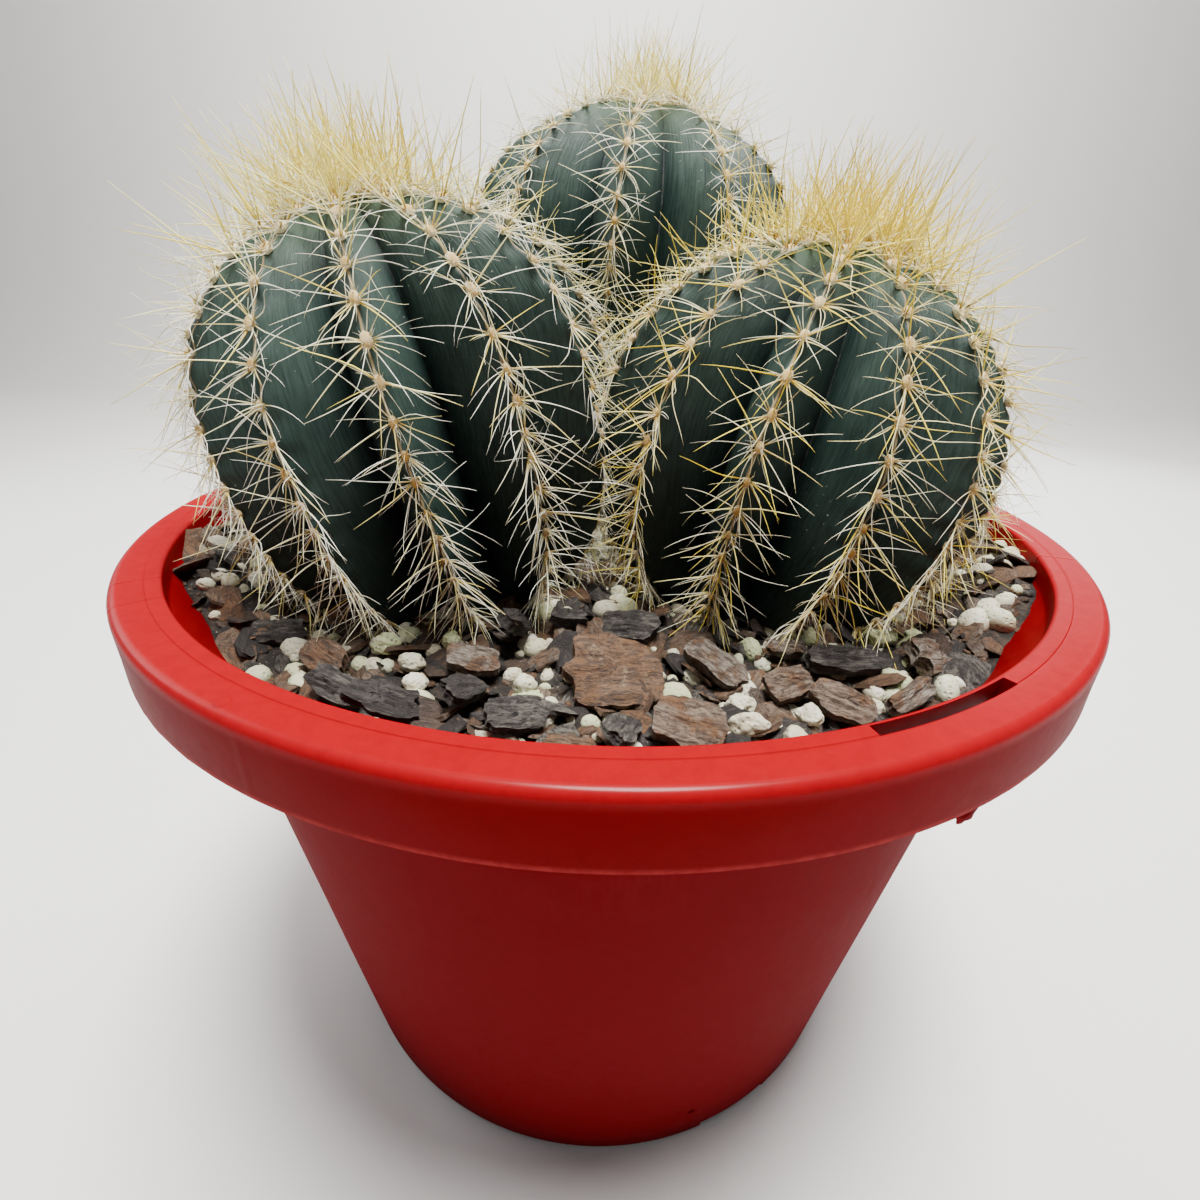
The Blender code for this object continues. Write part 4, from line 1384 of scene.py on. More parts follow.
@dataclass(frozen=True)
class Globe:
    """One ribbed globe of the cactus. Its outline is the CAD stem's."""

    name: str
    foot_x: float
    foot_y: float
    lean_x: float
    lean_y: float
    height: float
    radius: float
    ribs: int
    rib_depth: float
    first_rib: float
    belly: float
    low: float
    high: float
    blunt: float
    straw: float
    seed: int
    foot_level: float = 111.8
    flank_bulge: float = 0.9
    crest_softness: float = 0.0022
    rings: int = 150

    def frame(self) -> tuple[np.ndarray, np.ndarray, np.ndarray, np.ndarray]:
        """Return the foot of the axis, two directions square to it, and the axis."""
        axis = np.array((self.lean_x, self.lean_y, 1.0))
        axis /= np.linalg.norm(axis)
        side = np.cross((0.0, 1.0, 0.0), axis)
        side /= np.linalg.norm(side)
        return np.array((self.foot_x, self.foot_y, self.foot_level)), side, np.cross(axis, side), axis

    def crest(self, share: np.ndarray) -> np.ndarray:
        """Return the distance of the crests from the axis, at shares of the height."""
        below = np.clip((self.belly - share) / self.belly, 0.0, 1.0) ** self.low
        above = np.clip((share - self.belly) / (1.0 - self.belly), 0.0, 1.0) ** self.high
        return self.radius * np.maximum(1.0 - below - above, 0.0) ** (1.0 / self.blunt)

    def valley(self, share: np.ndarray) -> np.ndarray:
        """Return the same for the grooves, which run out at the foot."""
        crest = self.crest(share)
        return crest - self.rib_depth * crest / self.radius * np.minimum(share / 0.25, 1.0)

    def points(self, share: np.ndarray, angle: np.ndarray, reach: np.ndarray) -> np.ndarray:
        """Return points by share of the height, angle about the axis and distance from it."""
        foot, side, across, axis = self.frame()
        out = np.cos(angle)[..., None] * side + np.sin(angle)[..., None] * across
        return foot + axis * (share * self.height)[..., None] + out * reach[..., None]

    def even_shares(self, count: int, last: float = 0.9985) -> np.ndarray:
        """Return shares of the height that are evenly spaced along a crest.

        Args:
            count: Number of shares.
            last: The highest share.

        Returns:
            The shares, from the foot up.
        """
        fine = 1.0 - (1.0 - np.linspace(0.02, last, 4000))
        rise = np.diff(fine * self.height)
        run = np.diff(self.crest(fine))
        length = np.concatenate([[0.0], np.cumsum(np.hypot(rise, run))])
        return np.interp(np.linspace(0.0, length[-1], count), length, fine)

    def rib_steps(self) -> np.ndarray:
        """Return the places of the points across one rib, from -1 to 1 at the grooves."""
        half = np.array((0.0, 0.03, 0.065, 0.11, 0.18, 0.28, 0.40, 0.53, 0.66, 0.79, 0.90, 0.965))
        return np.concatenate([-half[:0:-1], half, [1.0]])

    def rib_noise(
        self, shares: np.ndarray, along: float, across: float, offset: float, slice_at: float
    ) -> np.ndarray:
        """Return smooth noise for every share of the height and every rib.

        Args:
            shares: Shares of the height.
            along: How fast it changes up the globe.
            across: How much it changes from rib to rib.
            offset: Moves the ribs to another part of the noise.
            slice_at: Third coordinate of the noise.

        Returns:
            One row for each share and one column for each rib.
        """
        rows = []
        for share in shares:
            reads = [Vector((share * along, rib * across + offset, slice_at)) for rib in range(self.ribs)]
            rows.append([noise.noise(read) for read in reads])
        return np.array(rows)

    def stem_mesh(self) -> bpy.types.Mesh:
        """Return the ribbed skin, closed at the foot and sunk at the crown."""
        across = self.rib_steps()
        count = self.ribs * len(across)
        rib = np.repeat(np.arange(self.ribs), len(across))
        off = np.tile(across, self.ribs)
        shares = self.even_shares(self.rings)
        share = shares[:, None] * np.ones(count)[None, :]
        pitch = math.tau / self.ribs
        angle = math.radians(self.first_rib) + (rib + off / 2.0)[None, :] * pitch + 0.0 * share
        crest, valley = self.crest(share), self.valley(share)
        soft = self.crest_softness
        away = (np.sqrt(off**2 + soft) - math.sqrt(soft)) / (math.sqrt(1.0 + soft) - math.sqrt(soft))
        depth = away[None, :] ** self.flank_bulge
        wander = self.rib_noise(shares, 2.4, 1.7, self.seed, 0.0)[:, rib]
        angle = angle + wander * 0.05 * pitch * (1.0 - np.abs(off))[None, :]
        notch = np.zeros_like(share)
        beat = self.crest_beat(shares)
        notch += beat[:, None] * np.exp(-((off / 0.16) ** 2))[None, :] * 0.42
        swell = self.rib_noise(shares, 3.1, 2.3, 0.0, 9.0 + self.seed)
        reach = crest - (crest - valley) * depth + notch * smooth(crest, 4.0, 16.0)
        reach += swell[:, rib] * 0.5 * smooth(crest, 6.0, 20.0) * (1.0 - np.abs(off))[None, :]
        rows = self.points(share, angle, np.maximum(reach, 0.3))
        rows = rows.reshape(-1, 3)
        last = self.rings * count
        axis = self.frame()[3]
        foot = self.points(np.array([0.02]), np.zeros(1), np.zeros(1))
        crown = self.points(np.array([shares[-1]]), np.zeros(1), np.zeros(1)) - axis * 2.0
        faces: list[tuple[int, ...]] = list(ring_faces(self.rings, count))
        faces += [(last, (index + 1) % count, index) for index in range(count)]
        top = last - count
        faces += [(last + 1, top + index, top + (index + 1) % count) for index in range(count)]
        mesh = mesh_from(np.concatenate([rows, foot, crown]), faces, self.name + "_skin")
        crest_mm = np.abs(off)[None, :] * pitch / 2 * crest
        lateral = np.hypot(crest_mm, (crest - valley) * depth)
        ends = {"share": (0.02, 1.0), "flank": (0.0, 1.0), "crest_mm": (9.0, 9.0), "around": (0.0, 0.0)}
        fields = {
            "share": share,
            "flank": np.abs(off)[None, :] + 0.0 * share,
            "crest_mm": lateral,
            "around": (rib * 3.7 + np.abs(off) * np.where(off < 0.0, 1.0, 1.6))[None, :] + 0.0 * share,
        }
        for key, value in fields.items():
            add_attribute(mesh, key, np.concatenate([value.ravel(), ends[key]]))
        return mesh

    def spacing(self, from_crown: np.ndarray) -> np.ndarray:
        """Return the distance between areoles, by the distance along the crest from the crown."""
        wide = 2.7 + 3.4 * smooth(from_crown, 2.0, 20.0)
        return wide - 1.4 * smooth(from_crown, 38.0, 62.0)

    def areole_distances(self, start: float, end: float) -> list[float]:
        """Return how far each areole of a rib lies from the crown along the crest.

        Args:
            start: Distance of the first.
            end: Distance at which the crest meets the mix.

        Returns:
            The distances.
        """
        found = [start]
        while found[-1] < end:
            found.append(found[-1] + float(self.spacing(np.array(found[-1]))))
        return found[:-1]

    def crest_line(self) -> tuple[np.ndarray, np.ndarray]:
        """Return shares of the height down a crest from the crown, and their distances from there."""
        fine = np.linspace(0.9985, 0.02, 3000)
        rise = np.diff(fine * self.height)
        run = np.diff(self.crest(fine))
        return fine, np.concatenate([[0.0], np.cumsum(np.hypot(rise, run))]) + float(self.crest(fine[:1])[0])

    def crest_beat(self, shares: np.ndarray) -> np.ndarray:
        """Return 1 at the level of an areole and -1 between two, as the crest is slightly notched."""
        fine, length = self.crest_line()
        distances = np.array(self.areole_distances(4.0, length[-1]))
        order = np.interp(length, distances, np.arange(len(distances)))
        return np.cos(math.tau * np.interp(shares, fine[::-1], order[::-1]))

    def areoles(self, mix_level: Callable[[float], float], others: Sequence["Globe"]) -> Areoles:
        """Return the areoles on every crest that is clear of the mix.

        Args:
            mix_level: Height of the mix at a distance from the pot's axis.
            others: The other globes.

        Returns:
            The areoles.
        """
        chance = random.Random(self.seed)
        fine, length = self.crest_line()
        place, out, up, distance, phase = [], [], [], [], []
        axis = self.frame()[3]
        for rib in range(self.ribs):
            turn = math.radians(self.first_rib) + math.tau * rib / self.ribs
            start = 4.0 + 1.4 * (rib % 2)
            for along in self.areole_distances(start, length[-1]):
                along += chance.uniform(-0.5, 0.5)
                share = float(np.interp(along, length, fine))
                near = np.array([share - 0.004, share, share + 0.004])
                trio = self.points(near, np.full(3, turn), self.crest(near))
                spot = trio[1]
                if spot[2] < mix_level(math.hypot(spot[0], spot[1])) + 1.0:
                    break
                rise = trio[2] - trio[0]
                rise /= np.linalg.norm(rise)
                sideways = np.cross(rise, spot - self.points(near[1:2], np.array([turn]), np.zeros(1))[0])
                away = np.cross(sideways, rise)
                away /= np.linalg.norm(away)
                if share > 0.99:
                    away = away + axis
                    away /= np.linalg.norm(away)
                place.append(spot + away * 0.15)
                out.append(away)
                up.append(rise)
                distance.append(along)
                phase.append(chance.uniform(0.0, math.tau))
        distance = np.array(distance)
        place = np.array(place)
        return Areoles(
            place=place,
            out=np.array(out),
            up=np.array(up),
            age=smooth(distance, 12.0, 78.0),
            young=1.0 - smooth(distance, 9.0, 32.0),
            room=self.room(place, others),
            warm=np.array([chance.uniform(0.2, 0.6) for _ in distance]) + self.straw,
            phase=np.array(phase),
        )

    def room(self, place: np.ndarray, others: Sequence["Globe"]) -> np.ndarray:
        """Return how long spines may be, as a share, where other globes stand close."""
        free = np.ones(len(place))
        for other in others:
            foot, _, _, axis = other.frame()
            offset = place - foot
            along = offset @ axis
            apart = np.linalg.norm(offset - along[:, None] * axis, axis=1)
            gap = apart - other.crest(np.clip(along / other.height, 0.0, 1.0))
            gap = np.where(along > other.height, np.hypot(gap, along - other.height), gap)
            free = np.minimum(free, 0.62 + 0.38 * np.clip(gap / 14.0, 0.0, 1.0))
        return free

    def crown_pad(self, areoles: Areoles) -> bpy.types.Mesh:
        """Return the pad of young wool that fills the sunken crown."""
        _, side, across, axis = self.frame()
        middle = self.points(np.array([0.9985]), np.zeros(1), np.zeros(1))[0] - axis * 1.2
        bm = bmesh.new()
        bmesh.ops.create_icosphere(bm, subdivisions=5, radius=1.0)
        points = []
        for vertex in bm.verts:
            lump = 1.0 + 0.10 * noise.noise(vertex.co * 3.0) + 0.07 * noise.noise(vertex.co * 9.0)
            shape = np.array(vertex.co) * lump
            points.append(middle + side * shape[0] * 6.2 + across * shape[1] * 6.2 + axis * shape[2] * 2.2)
        faces = [tuple(vertex.index for vertex in face.verts) for face in bm.faces]
        bm.free()
        mesh = mesh_from(points, faces, self.name + "_crown_wool")
        add_attribute(mesh, "age", 0.0)
        add_attribute(mesh, "tuft", 0.0)
        return mesh


class SpineKind(Enum):
    """The kinds of spine, and the sizes that their recipe takes."""

    RADIAL = {
        "Spines in an areole": 10,
        "Length": 0.0090,
        "Length spread": 0.36,
        "Tilt": 1.16,
        "Tilt spread": 0.24,
        "Thickness": 0.00020,
        "Bend": 0.28,
        "Droop": 0.24,
        "Lift": 0.06,
        "Pale": 0.66,
        "Sideways": 0.85,
    }
    CENTRAL = {
        "Spines in an areole": 4,
        "Length": 0.0104,
        "Length spread": 0.34,
        "Tilt": 0.84,
        "Tilt spread": 0.38,
        "Thickness": 0.00027,
        "Bend": 0.12,
        "Droop": 0.34,
        "Lift": 0.12,
        "Pale": 0.0,
        "Sideways": 0.65,
    }
    CROWN = {
        "Spines in an areole": 9,
        "Length": 0.0132,
        "Length spread": 0.38,
        "Tilt": 0.50,
        "Tilt spread": 0.50,
        "Thickness": 0.00032,
        "Bend": 0.06,
        "Droop": 0.0,
        "Lift": 0.10,
        "Pale": -0.15,
        "Sideways": 0.0,
    }
    FUZZ = {
        "Spines in an areole": 16,
        "Length": 0.0019,
        "Length spread": 0.4,
        "Tilt": 0.75,
        "Tilt spread": 0.7,
        "Thickness": 0.00012,
        "Bend": 0.4,
        "Droop": 0.1,
        "Lift": 0.1,
        "Pale": 0.75,
        "Sideways": 0.0,
    }


@dataclass(frozen=True)
class Cactus:
    """The plant: three globes with their wool and spines."""

    skin: CactusSkin
    horn: SpineFinish
    wool: WoolFinish
    globes: tuple[Globe, ...]

    def build(self, mix_level: Callable[[float], float]) -> list[bpy.types.Object]:
        """Make every globe.

        Args:
            mix_level: Height of the mix at a distance from the pot's axis.

        Returns:
            The pieces.
        """
        skin = self.skin.build()
        horn = self.horn.build()
        wool = self.wool.build()
        spines = SpineRecipe(horn, "spines")
        hairs = SpineRecipe(horn, "wool_hairs", 2)
        tufts = WoolRecipe(wool)
        pieces = []
        for globe in self.globes:
            stem = link(globe.name + "_globe", globe.stem_mesh())
            stem.data.materials.append(skin)
            pieces.append(finish_piece(stem, self.skin, globe.name + "_stem"))
            others = [other for other in self.globes if other is not globe]
            areoles = globe.areoles(mix_level, others)
            pieces += self.clothe(globe, areoles, spines, hairs, tufts, wool)
        return pieces

    def clothe(
        self,
        globe: Globe,
        areoles: Areoles,
        spines: SpineRecipe,
        hairs: SpineRecipe,
        tufts: WoolRecipe,
        wool: bpy.types.Material,
    ) -> list[bpy.types.Object]:
        """Make the wool and spines of one globe.

        Args:
            globe: The globe.
            areoles: Its areoles.
            spines: Recipe of the spines.
            hairs: Recipe of the wool's loose hairs.
            tufts: Recipe of the wool.
            wool: Material of the wool.

        Returns:
            The pieces.
        """
        name = globe.name
        every = np.ones(len(areoles.age))
        plans = (
            (SpineKind.RADIAL, spines, "radial_spines", every - 0.35 * areoles.young),
            (SpineKind.CENTRAL, spines, "central_spines", every),
            (SpineKind.CROWN, spines, "crown_spines", areoles.young),
            (SpineKind.FUZZ, hairs, "wool_hairs", every),
        )
        pieces = []
        for kind, recipe, label, many in plans:
            source = areoles.mesh(f"{name}_{label}_roots", many)
            sizes = dict(kind.value, Seed=globe.seed * 10)
            grown = recipe.grow(f"{name}_{label}", source, sizes, ("along", "tint", "pale"))
            stands_for = (name + "_spines",) if kind is SpineKind.CENTRAL else ()
            pieces.append(finish_piece(grown, self.horn, *stands_for))
        plump = 1.0 + 0.25 * areoles.young - 0.30 * areoles.age
        source = areoles.mesh(name + "_wool_roots", every, plump)
        felt = tufts.grow(name + "_wool", source, {"Seed": globe.seed}, ("age", "tuft"))
        pieces.append(finish_piece(felt, self.wool))
        pad = link(name + "_crown_wool", globe.crown_pad(areoles))
        pad.data.materials.append(wool)
        pieces.append(finish_piece(pad, self.wool))
        return pieces


# The mix and what lies on it


@dataclass(frozen=True)
class Mix:
    """The surface of bark fines inside the pot, with the crumbs and small bits strewn on it."""

    finish: SoilFinish
    below_rim: float = 15.5
    mound: float = 2.5
    bank: float = 12.5
    bank_reach: tuple[float, float] = (70.0, 86.0)
    bank_turn: tuple[float, float] = (0.16, 0.62)
    edge_drop: float = 1.9
    rings: int = 84
    around: int = 210
    seed: int = 5

    def level(self, pot: Pot, radius: float) -> float:
        """Return the height of the CAD mix at a distance from the pot's axis."""
        top = pot.height - self.below_rim
        return top + self.mound * (1.0 - min(radius / pot.inner(top), 1.0) ** 2)

    def relief(self, x: float, y: float) -> float:
        """Return how far the loose surface stands above or below its level, in millimetres."""
        broad = noise.fractal(Vector((x * 0.045, y * 0.045, 2.0)), 0.8, 2.0, 3) * 1.3
        fine = noise.fractal(Vector((x * 0.32, y * 0.32, 9.0)), 0.7, 2.1, 4) * 0.75
        return broad + fine - 0.7

    def banked(self, radius: float, turn: float) -> float:
        """Return how far the mix is banked up against the wall, which is nowhere at the front."""
        outwards = smooth(radius, *self.bank_reach)
        return self.bank * float(outwards * smooth(1.0 + math.sin(turn), *self.bank_turn))

    def bare(self, x: float, y: float, globes: Sequence[Globe]) -> float:
        """Return 0 under a globe's foot and 1 clear of every one.

        Args:
            x: Place on the mix.
            y: Place on the mix.
            globes: The globes.

        Returns:
            How open the mix is there.
        """
        clear = 1.0
        for globe in globes:
            share = np.array([0.12])
            middle = globe.points(share, np.zeros(1), np.zeros(1))[0]
            reach = float(globe.valley(share)[0])
            clear = min(clear, float(smooth(math.hypot(x - middle[0], y - middle[1]), reach - 2.0, reach)))
        return clear

    def surface(self, pot: Pot, globes: Sequence[Globe]) -> bpy.types.Mesh:
        """Return the body of the mix, closed at its side and underside.

        Args:
            pot: The pot that it fills.
            globes: The globes that stand in it.

        Returns:
            The mesh, with how open each point is as an attribute.
        """
        points, bareness = [], []
        for ring in range(self.rings):
            share = ((ring + 0.35) / (self.rings - 0.65)) ** 0.92
            for step in range(self.around):
                turn = math.tau * step / self.around
                banked = self.banked(pot.mouth, turn)
                strewn = self.rings - (1 if banked > self.bank * 0.6 else 2)
                edge = pot.inner(pot.height - self.below_rim + max(banked - self.edge_drop, 0.0)) + 0.4
                radius = edge * share
                x, y = radius * math.cos(turn), radius * math.sin(turn)
                fall = 1.2 * float(smooth(radius, edge - 7.0, edge))
                height = self.level(pot, radius) + self.relief(x, y) + self.banked(radius, turn) - fall
                points.append((x, y, height))
                bareness.append(self.bare(x, y, globes) if ring < strewn else 0.0)
        top_count = len(points)
        under_collar = pot.height - pot.collar_drop - pot.collar_flare - 0.5
        for level in (under_collar, 90.0, 60.0, 30.0, pot.floor + 0.3):
            for step in range(self.around):
                turn = math.tau * step / self.around
                low = min(level, points[top_count - self.around + step][2] - 1.0)
                radius = pot.inner(max(low, 3.0)) - 0.3
                points.append((radius * math.cos(turn), radius * math.sin(turn), low))
                bareness.append(0.0)
        centre = len(points)
        points += [(0.0, 0.0, self.level(pot, 0.0) - 0.5), (0.0, 0.0, pot.floor + 0.3)]
        bareness += [0.0, 0.0]
        rows = self.rings + 5
        faces = [tuple(reversed(face)) for face in ring_faces(rows, self.around)]
        last = (rows - 1) * self.around
        faces += end_fans(self.around, centre, last)
        mesh = mesh_from(points, faces, "mix_surface")
        add_attribute(mesh, "open", np.array(bareness))
        log.info("mix: %d points on top", top_count)
        return mesh

    def build(
        self, pot: Pot, globes: Sequence[Globe], bark: BarkFinish, stone: PumiceFinish
    ) -> list[bpy.types.Object]:
        """Make the mix and its litter.

        Args:
            pot: The pot that it fills.
            globes: The globes that stand in it.
            bark: Finish of the small flakes and crumbs.
            stone: Finish of the grit.

        Returns:
            The pieces.
        """
        mesh = self.surface(pot, globes)
        body = link("mix", mesh)
        body.data.materials.append(self.finish.build())
        bark_material = bark.build()
        stone_material = stone.build()
        keep = ("tone", "ashen", "grain", "green")
        crumbs = LitterRecipe(bark_material, "crumbs", crumb_shapes)
        flakes = LitterRecipe(bark_material, "small_flakes", flake_shapes)
        grit = LitterRecipe(stone_material, "grit", pebble_shapes)
        plans = (
            (crumbs, "bark_crumbs", bark, {"Bits in a square metre": 200000.0, "Seed": self.seed}),
            (
                flakes,
                "small_bark_flakes",
                bark,
                {
                    "Bits in a square metre": 90000.0,
                    "Least distance": 0.0024,
                    "Smallest": 0.0018,
                    "Largest": 0.0056,
                    "Flatness": 0.34,
                    "Tip": 0.65,
                    "Sink": -0.0008,
                    "Seed": self.seed + 1,
                },
            ),
            (
                grit,
                "pumice_grit",
                stone,
                {
                    "Bits in a square metre": 60000.0,
                    "Least distance": 0.0024,
                    "Smallest": 0.0010,
                    "Largest": 0.0036,
                    "Flatness": 0.8,
                    "Sink": -0.0003,
                    "Seed": self.seed + 2,
                },
            ),
        )
        pieces = []
        for recipe, name, finish, sizes in plans:
            pieces.append(finish_piece(recipe.grow(name, mesh.copy(), sizes, keep), finish))
        pieces.append(finish_piece(body, self.finish, "potting_mix"))
        return pieces


class Tone(Enum):
    """How a bark chip has weathered: its tone from brown to black, and how ashen it is."""

    RUST = (0.05, 0.15)
    TAN = (0.15, 0.55)
    ASHEN = (0.40, 0.95)
    DARK = (0.85, 0.35)
    BLACK = (1.0, 0.10)


@dataclass(frozen=True)
class Chip:
    """One bark chip: its half sizes in millimetres, and its turn, tip and roll in degrees."""

    long: float
    wide: float
    turn: float
    tip: float
    roll: float
    tone: Tone
    thick: float = 2.6
    lift: float = 0.0
    out: float = 0.0


@dataclass(frozen=True)
class BarkChips:
    """The large bark chips, each in its CAD node's place."""

    finish: BarkFinish
    chips: tuple[Chip, ...]
    rings: int = 9
    around: int = 44
    layers: int = 5

    def outline(self, turn: float, seed: float) -> float:
        """Return how far a chip's broken edge lies from its middle, as a share of its half size."""
        corner = abs(noise.noise(Vector((math.cos(turn) * 1.1, math.sin(turn) * 1.1, seed))))
        ragged = noise.noise(Vector((math.cos(turn) * 5.0, math.sin(turn) * 5.0, seed + 5.0)))
        squarish = 1.0 / max(abs(math.cos(turn)), abs(math.sin(turn))) ** 0.45
        return squarish * (0.96 - 0.40 * corner + 0.06 * ragged)

    def relief(self, x: float, y: float, seed: float) -> float:
        """Return the height of a chip's streaked and stepped face, in millimetres."""
        ridge = noise.fractal(Vector((x * 0.09, y * 0.85, seed)), 0.7, 2.1, 4) * 0.55
        plate = noise.noise(Vector((x * 0.14, y * 0.26, seed + 20.0))) * 2.6
        stepped = math.floor(plate * 1.6) / 1.6 * 0.42
        broad = noise.noise(Vector((x * 0.09, y * 0.11, seed + 40.0))) * 0.9
        return ridge + stepped + broad

    def shape(
        self, chip: Chip, seed: float
    ) -> tuple[list[tuple[float, float, float]], list[tuple[int, ...]]]:
        """Make a chip lying flat: long in X, with a stepped face, a layered edge and a plain back.

        Args:
            chip: The chip.
            seed: Number that sets its shape apart.

        Returns:
            Its points and faces.
        """
        half = chip.thick / 2
        points = []
        bend = 0.035 * noise.noise(Vector((seed, 1.0, 2.0)))
        rows = [(ring / self.rings, "top") for ring in range(1, self.rings + 1)]
        rows += [(1.0, f"edge{layer}") for layer in range(1, self.layers)]
        rows += [(ring / 5, "back") for ring in range(5, 0, -1)]
        for share, kind in rows:
            for step in range(self.around):
                turn = math.tau * step / self.around
                reach = self.outline(turn, seed) * share
                if kind.startswith("edge"):
                    layer = int(kind[4:])
                    read = Vector((math.cos(turn) * 4, math.sin(turn) * 4, seed + layer * 3.0))
                    reach -= 0.10 * abs(noise.noise(read))
                    reach -= 0.04 * (layer % 2)
                x, y = reach * math.cos(turn) * chip.long, reach * math.sin(turn) * chip.wide
                bowed = bend * x * x * 0.4
                thin = 1.0 - 0.35 * share**3
                if kind == "top":
                    z = half * thin + self.relief(x, y, seed)
                elif kind == "back":
                    z = -half * thin + 0.3 * noise.noise(Vector((x * 0.3, y * 0.6, seed + 60.0)))
                else:
                    low = half * 0.65 + self.relief(x, y, seed)
                    z = low + (-half * 0.65 - low) * int(kind[4:]) / self.layers
                points.append((x, y, z + bowed))
        faces = [tuple(reversed(face)) for face in ring_faces(len(rows), self.around)]
        top = len(points)
        points += [(0.0, 0.0, half + self.relief(0.0, 0.0, seed)), (0.0, 0.0, -half)]
        last = (len(rows) - 1) * self.around
        faces += end_fans(self.around, top, last)
        return points, faces

    def build(self) -> list[bpy.types.Object]:
        """Make every chip in its CAD node's place."""
        material = self.finish.build()
        pieces = []
        for index, chip in enumerate(self.chips):
            node = f"bark_chip_{index + 1:02d}"
            middle = node_box(node)[0]
            outwards = Vector((middle.x, middle.y, 0.0)).normalized() * chip.out
            seed = 3.7 * index + 1.0
            points, faces = self.shape(chip, seed)
            tipped = Matrix.Rotation(math.radians(chip.tip), 3, "Y")
            turn = tipped @ Matrix.Rotation(math.radians(chip.roll), 3, "X")
            turn = Matrix.Rotation(math.radians(chip.turn), 3, "Z") @ turn
            place = middle + outwards + Vector((0.0, 0.0, chip.lift))
            laid = [turn @ Vector(point) + place for point in points]
            mesh = mesh_from(laid, faces, node + "_bark")
            mesh.set_sharp_from_angle(angle=math.radians(50))
            add_attribute(mesh, "grain", np.array(points) + np.array((seed * 3.0, seed, 0.0)))
            add_attribute(mesh, "tone", chip.tone.value[0])
            add_attribute(mesh, "ashen", chip.tone.value[1])
            obj = link(node + "_bark", mesh)
            mesh.materials.append(material)
            slot = replace_slot(self.finish, "dark_bark" if index % 3 == 2 else "brown_bark")
            pieces.append(finish_piece(obj, slot, node))
        return pieces


def replace_slot(finish: BarkFinish, slot: str) -> BarkFinish:
    """Return the same finish under another slot name."""
    return BarkFinish(finish.name, slot)


@dataclass(frozen=True)
class PumiceGrains:
    """The large pumice grains, each in its CAD node's place."""

    finish: PumiceFinish
    green: frozenset[int]
    count: int = 18
    swell: float = 1.06

    def build(self) -> list[bpy.types.Object]:
        """Make every grain in its CAD node's place."""
        material = self.finish.build()
        chance = random.Random(23)
        pieces = []
        for index in range(1, self.count + 1):
            node = f"pumice_{index:02d}"
            middle, size = node_box(node)
            half = size / 2 * self.swell
            bm = bmesh.new()
            bmesh.ops.create_icosphere(bm, subdivisions=4, radius=1.0)
            turn = Matrix.Rotation(chance.uniform(0, math.tau), 3, "Z")
            points = []
            for vertex in bm.verts:
                unit = vertex.co.copy()
                read = unit * 1.1 + Vector((index * 5.1, 0.0, 0.0))
                lump = 1.0 + 0.30 * noise.noise(read) + 0.12 * noise.noise(read * 2.7)
                pit = noise.voronoi(unit * 3.2 + Vector((index * 3.3, 1.0, 0.0)))[0][0]
                lump -= 0.06 * (1.0 - float(smooth(pit, 0.08, 0.34)))
                shape = turn @ (unit * lump)
                points.append(middle + Vector((shape.x * half.x, shape.y * half.y, shape.z * half.z)))
            faces = [tuple(vertex.index for vertex in face.verts) for face in bm.faces]
            bm.free()
            mesh = mesh_from(points, faces, node + "_stone")
            add_attribute(mesh, "green", 0.85 if index in self.green else chance.uniform(-0.2, 0.25))
            mesh.materials.append(material)
            pieces.append(finish_piece(link(node + "_stone", mesh), self.finish, node))
        return pieces


@dataclass(frozen=True)
class Twigs:
    """Thin dry twigs: tapered, slightly crooked and knotted."""

    finish: BarkFinish
    length: float = 13.0
    radius: float = 0.62
    around: int = 10
    steps: int = 30

    def build(self) -> list[bpy.types.Object]:
        """Make both twigs in their CAD nodes' places."""
        material = self.finish.build()
        pieces = []
        for index in (1, 2):
            node = f"twig_{index}"
            middle, size = node_box(node)
            turn = math.atan2(size.y, size.x)
            points = []
            for step in range(self.steps):
                share = step / (self.steps - 1)
                x = (share - 0.5) * self.length
                crook = 0.5 * noise.noise(Vector((share * 2.2, index * 4.0, 0.0)))
                knot = 1.0 + 0.35 * math.exp(-(((share - 0.38) / 0.04) ** 2))
                end = min(1.0, 0.35 + 14 * min(share, 1.0 - share))
                reach = self.radius * (1.1 - 0.45 * share) * knot * end
                for side in range(self.around):
                    angle = math.tau * side / self.around
                    across, over = math.cos(angle), math.sin(angle)
                    rough = 1.0 + 0.16 * noise.noise(Vector((share * 9.0, across * 2, over * 2)))
                    points.append(Vector((x, crook + reach * rough * across, reach * rough * over)))
            faces = [tuple(face) for face in ring_faces(self.steps, self.around)]
            last = len(points) - self.around
            faces.append(tuple(reversed(range(self.around))))
            faces.append(tuple(range(last, last + self.around)))
            spin = Matrix.Rotation(turn, 3, "Z")
            mesh = mesh_from([spin @ point + middle for point in points], faces, node + "_wood")
            add_attribute(mesh, "grain", np.array([tuple(point) for point in points]))
            add_attribute(mesh, "tone", 0.25)
            add_attribute(mesh, "ashen", 0.7)
            mesh.materials.append(material)
            pieces.append(finish_piece(link(node + "_wood", mesh), self.finish, node))
        return pieces


# The studio


@dataclass(frozen=True)
class Lamp:
    """One soft area light, aimed at a point."""

    place: Color
    aim: Color
    size: float
    watts: float
    colour: Color = (1.0, 1.0, 1.0)

    def build(self, name: str) -> None:
        """Hang the light under this name."""
        data = bpy.data.lights.new(name, "AREA")
        data.shape = "DISK"
        data.size = self.size
        data.energy = self.watts
        data.color = self.colour
        lamp = bpy.data.objects.new(name, data)
        lamp.location = self.place
        direction = Vector(self.aim) - Vector(self.place)
        lamp.rotation_euler = direction.to_track_quat("-Z", "Y").to_euler()
        bpy.context.scene.collection.objects.link(lamp)


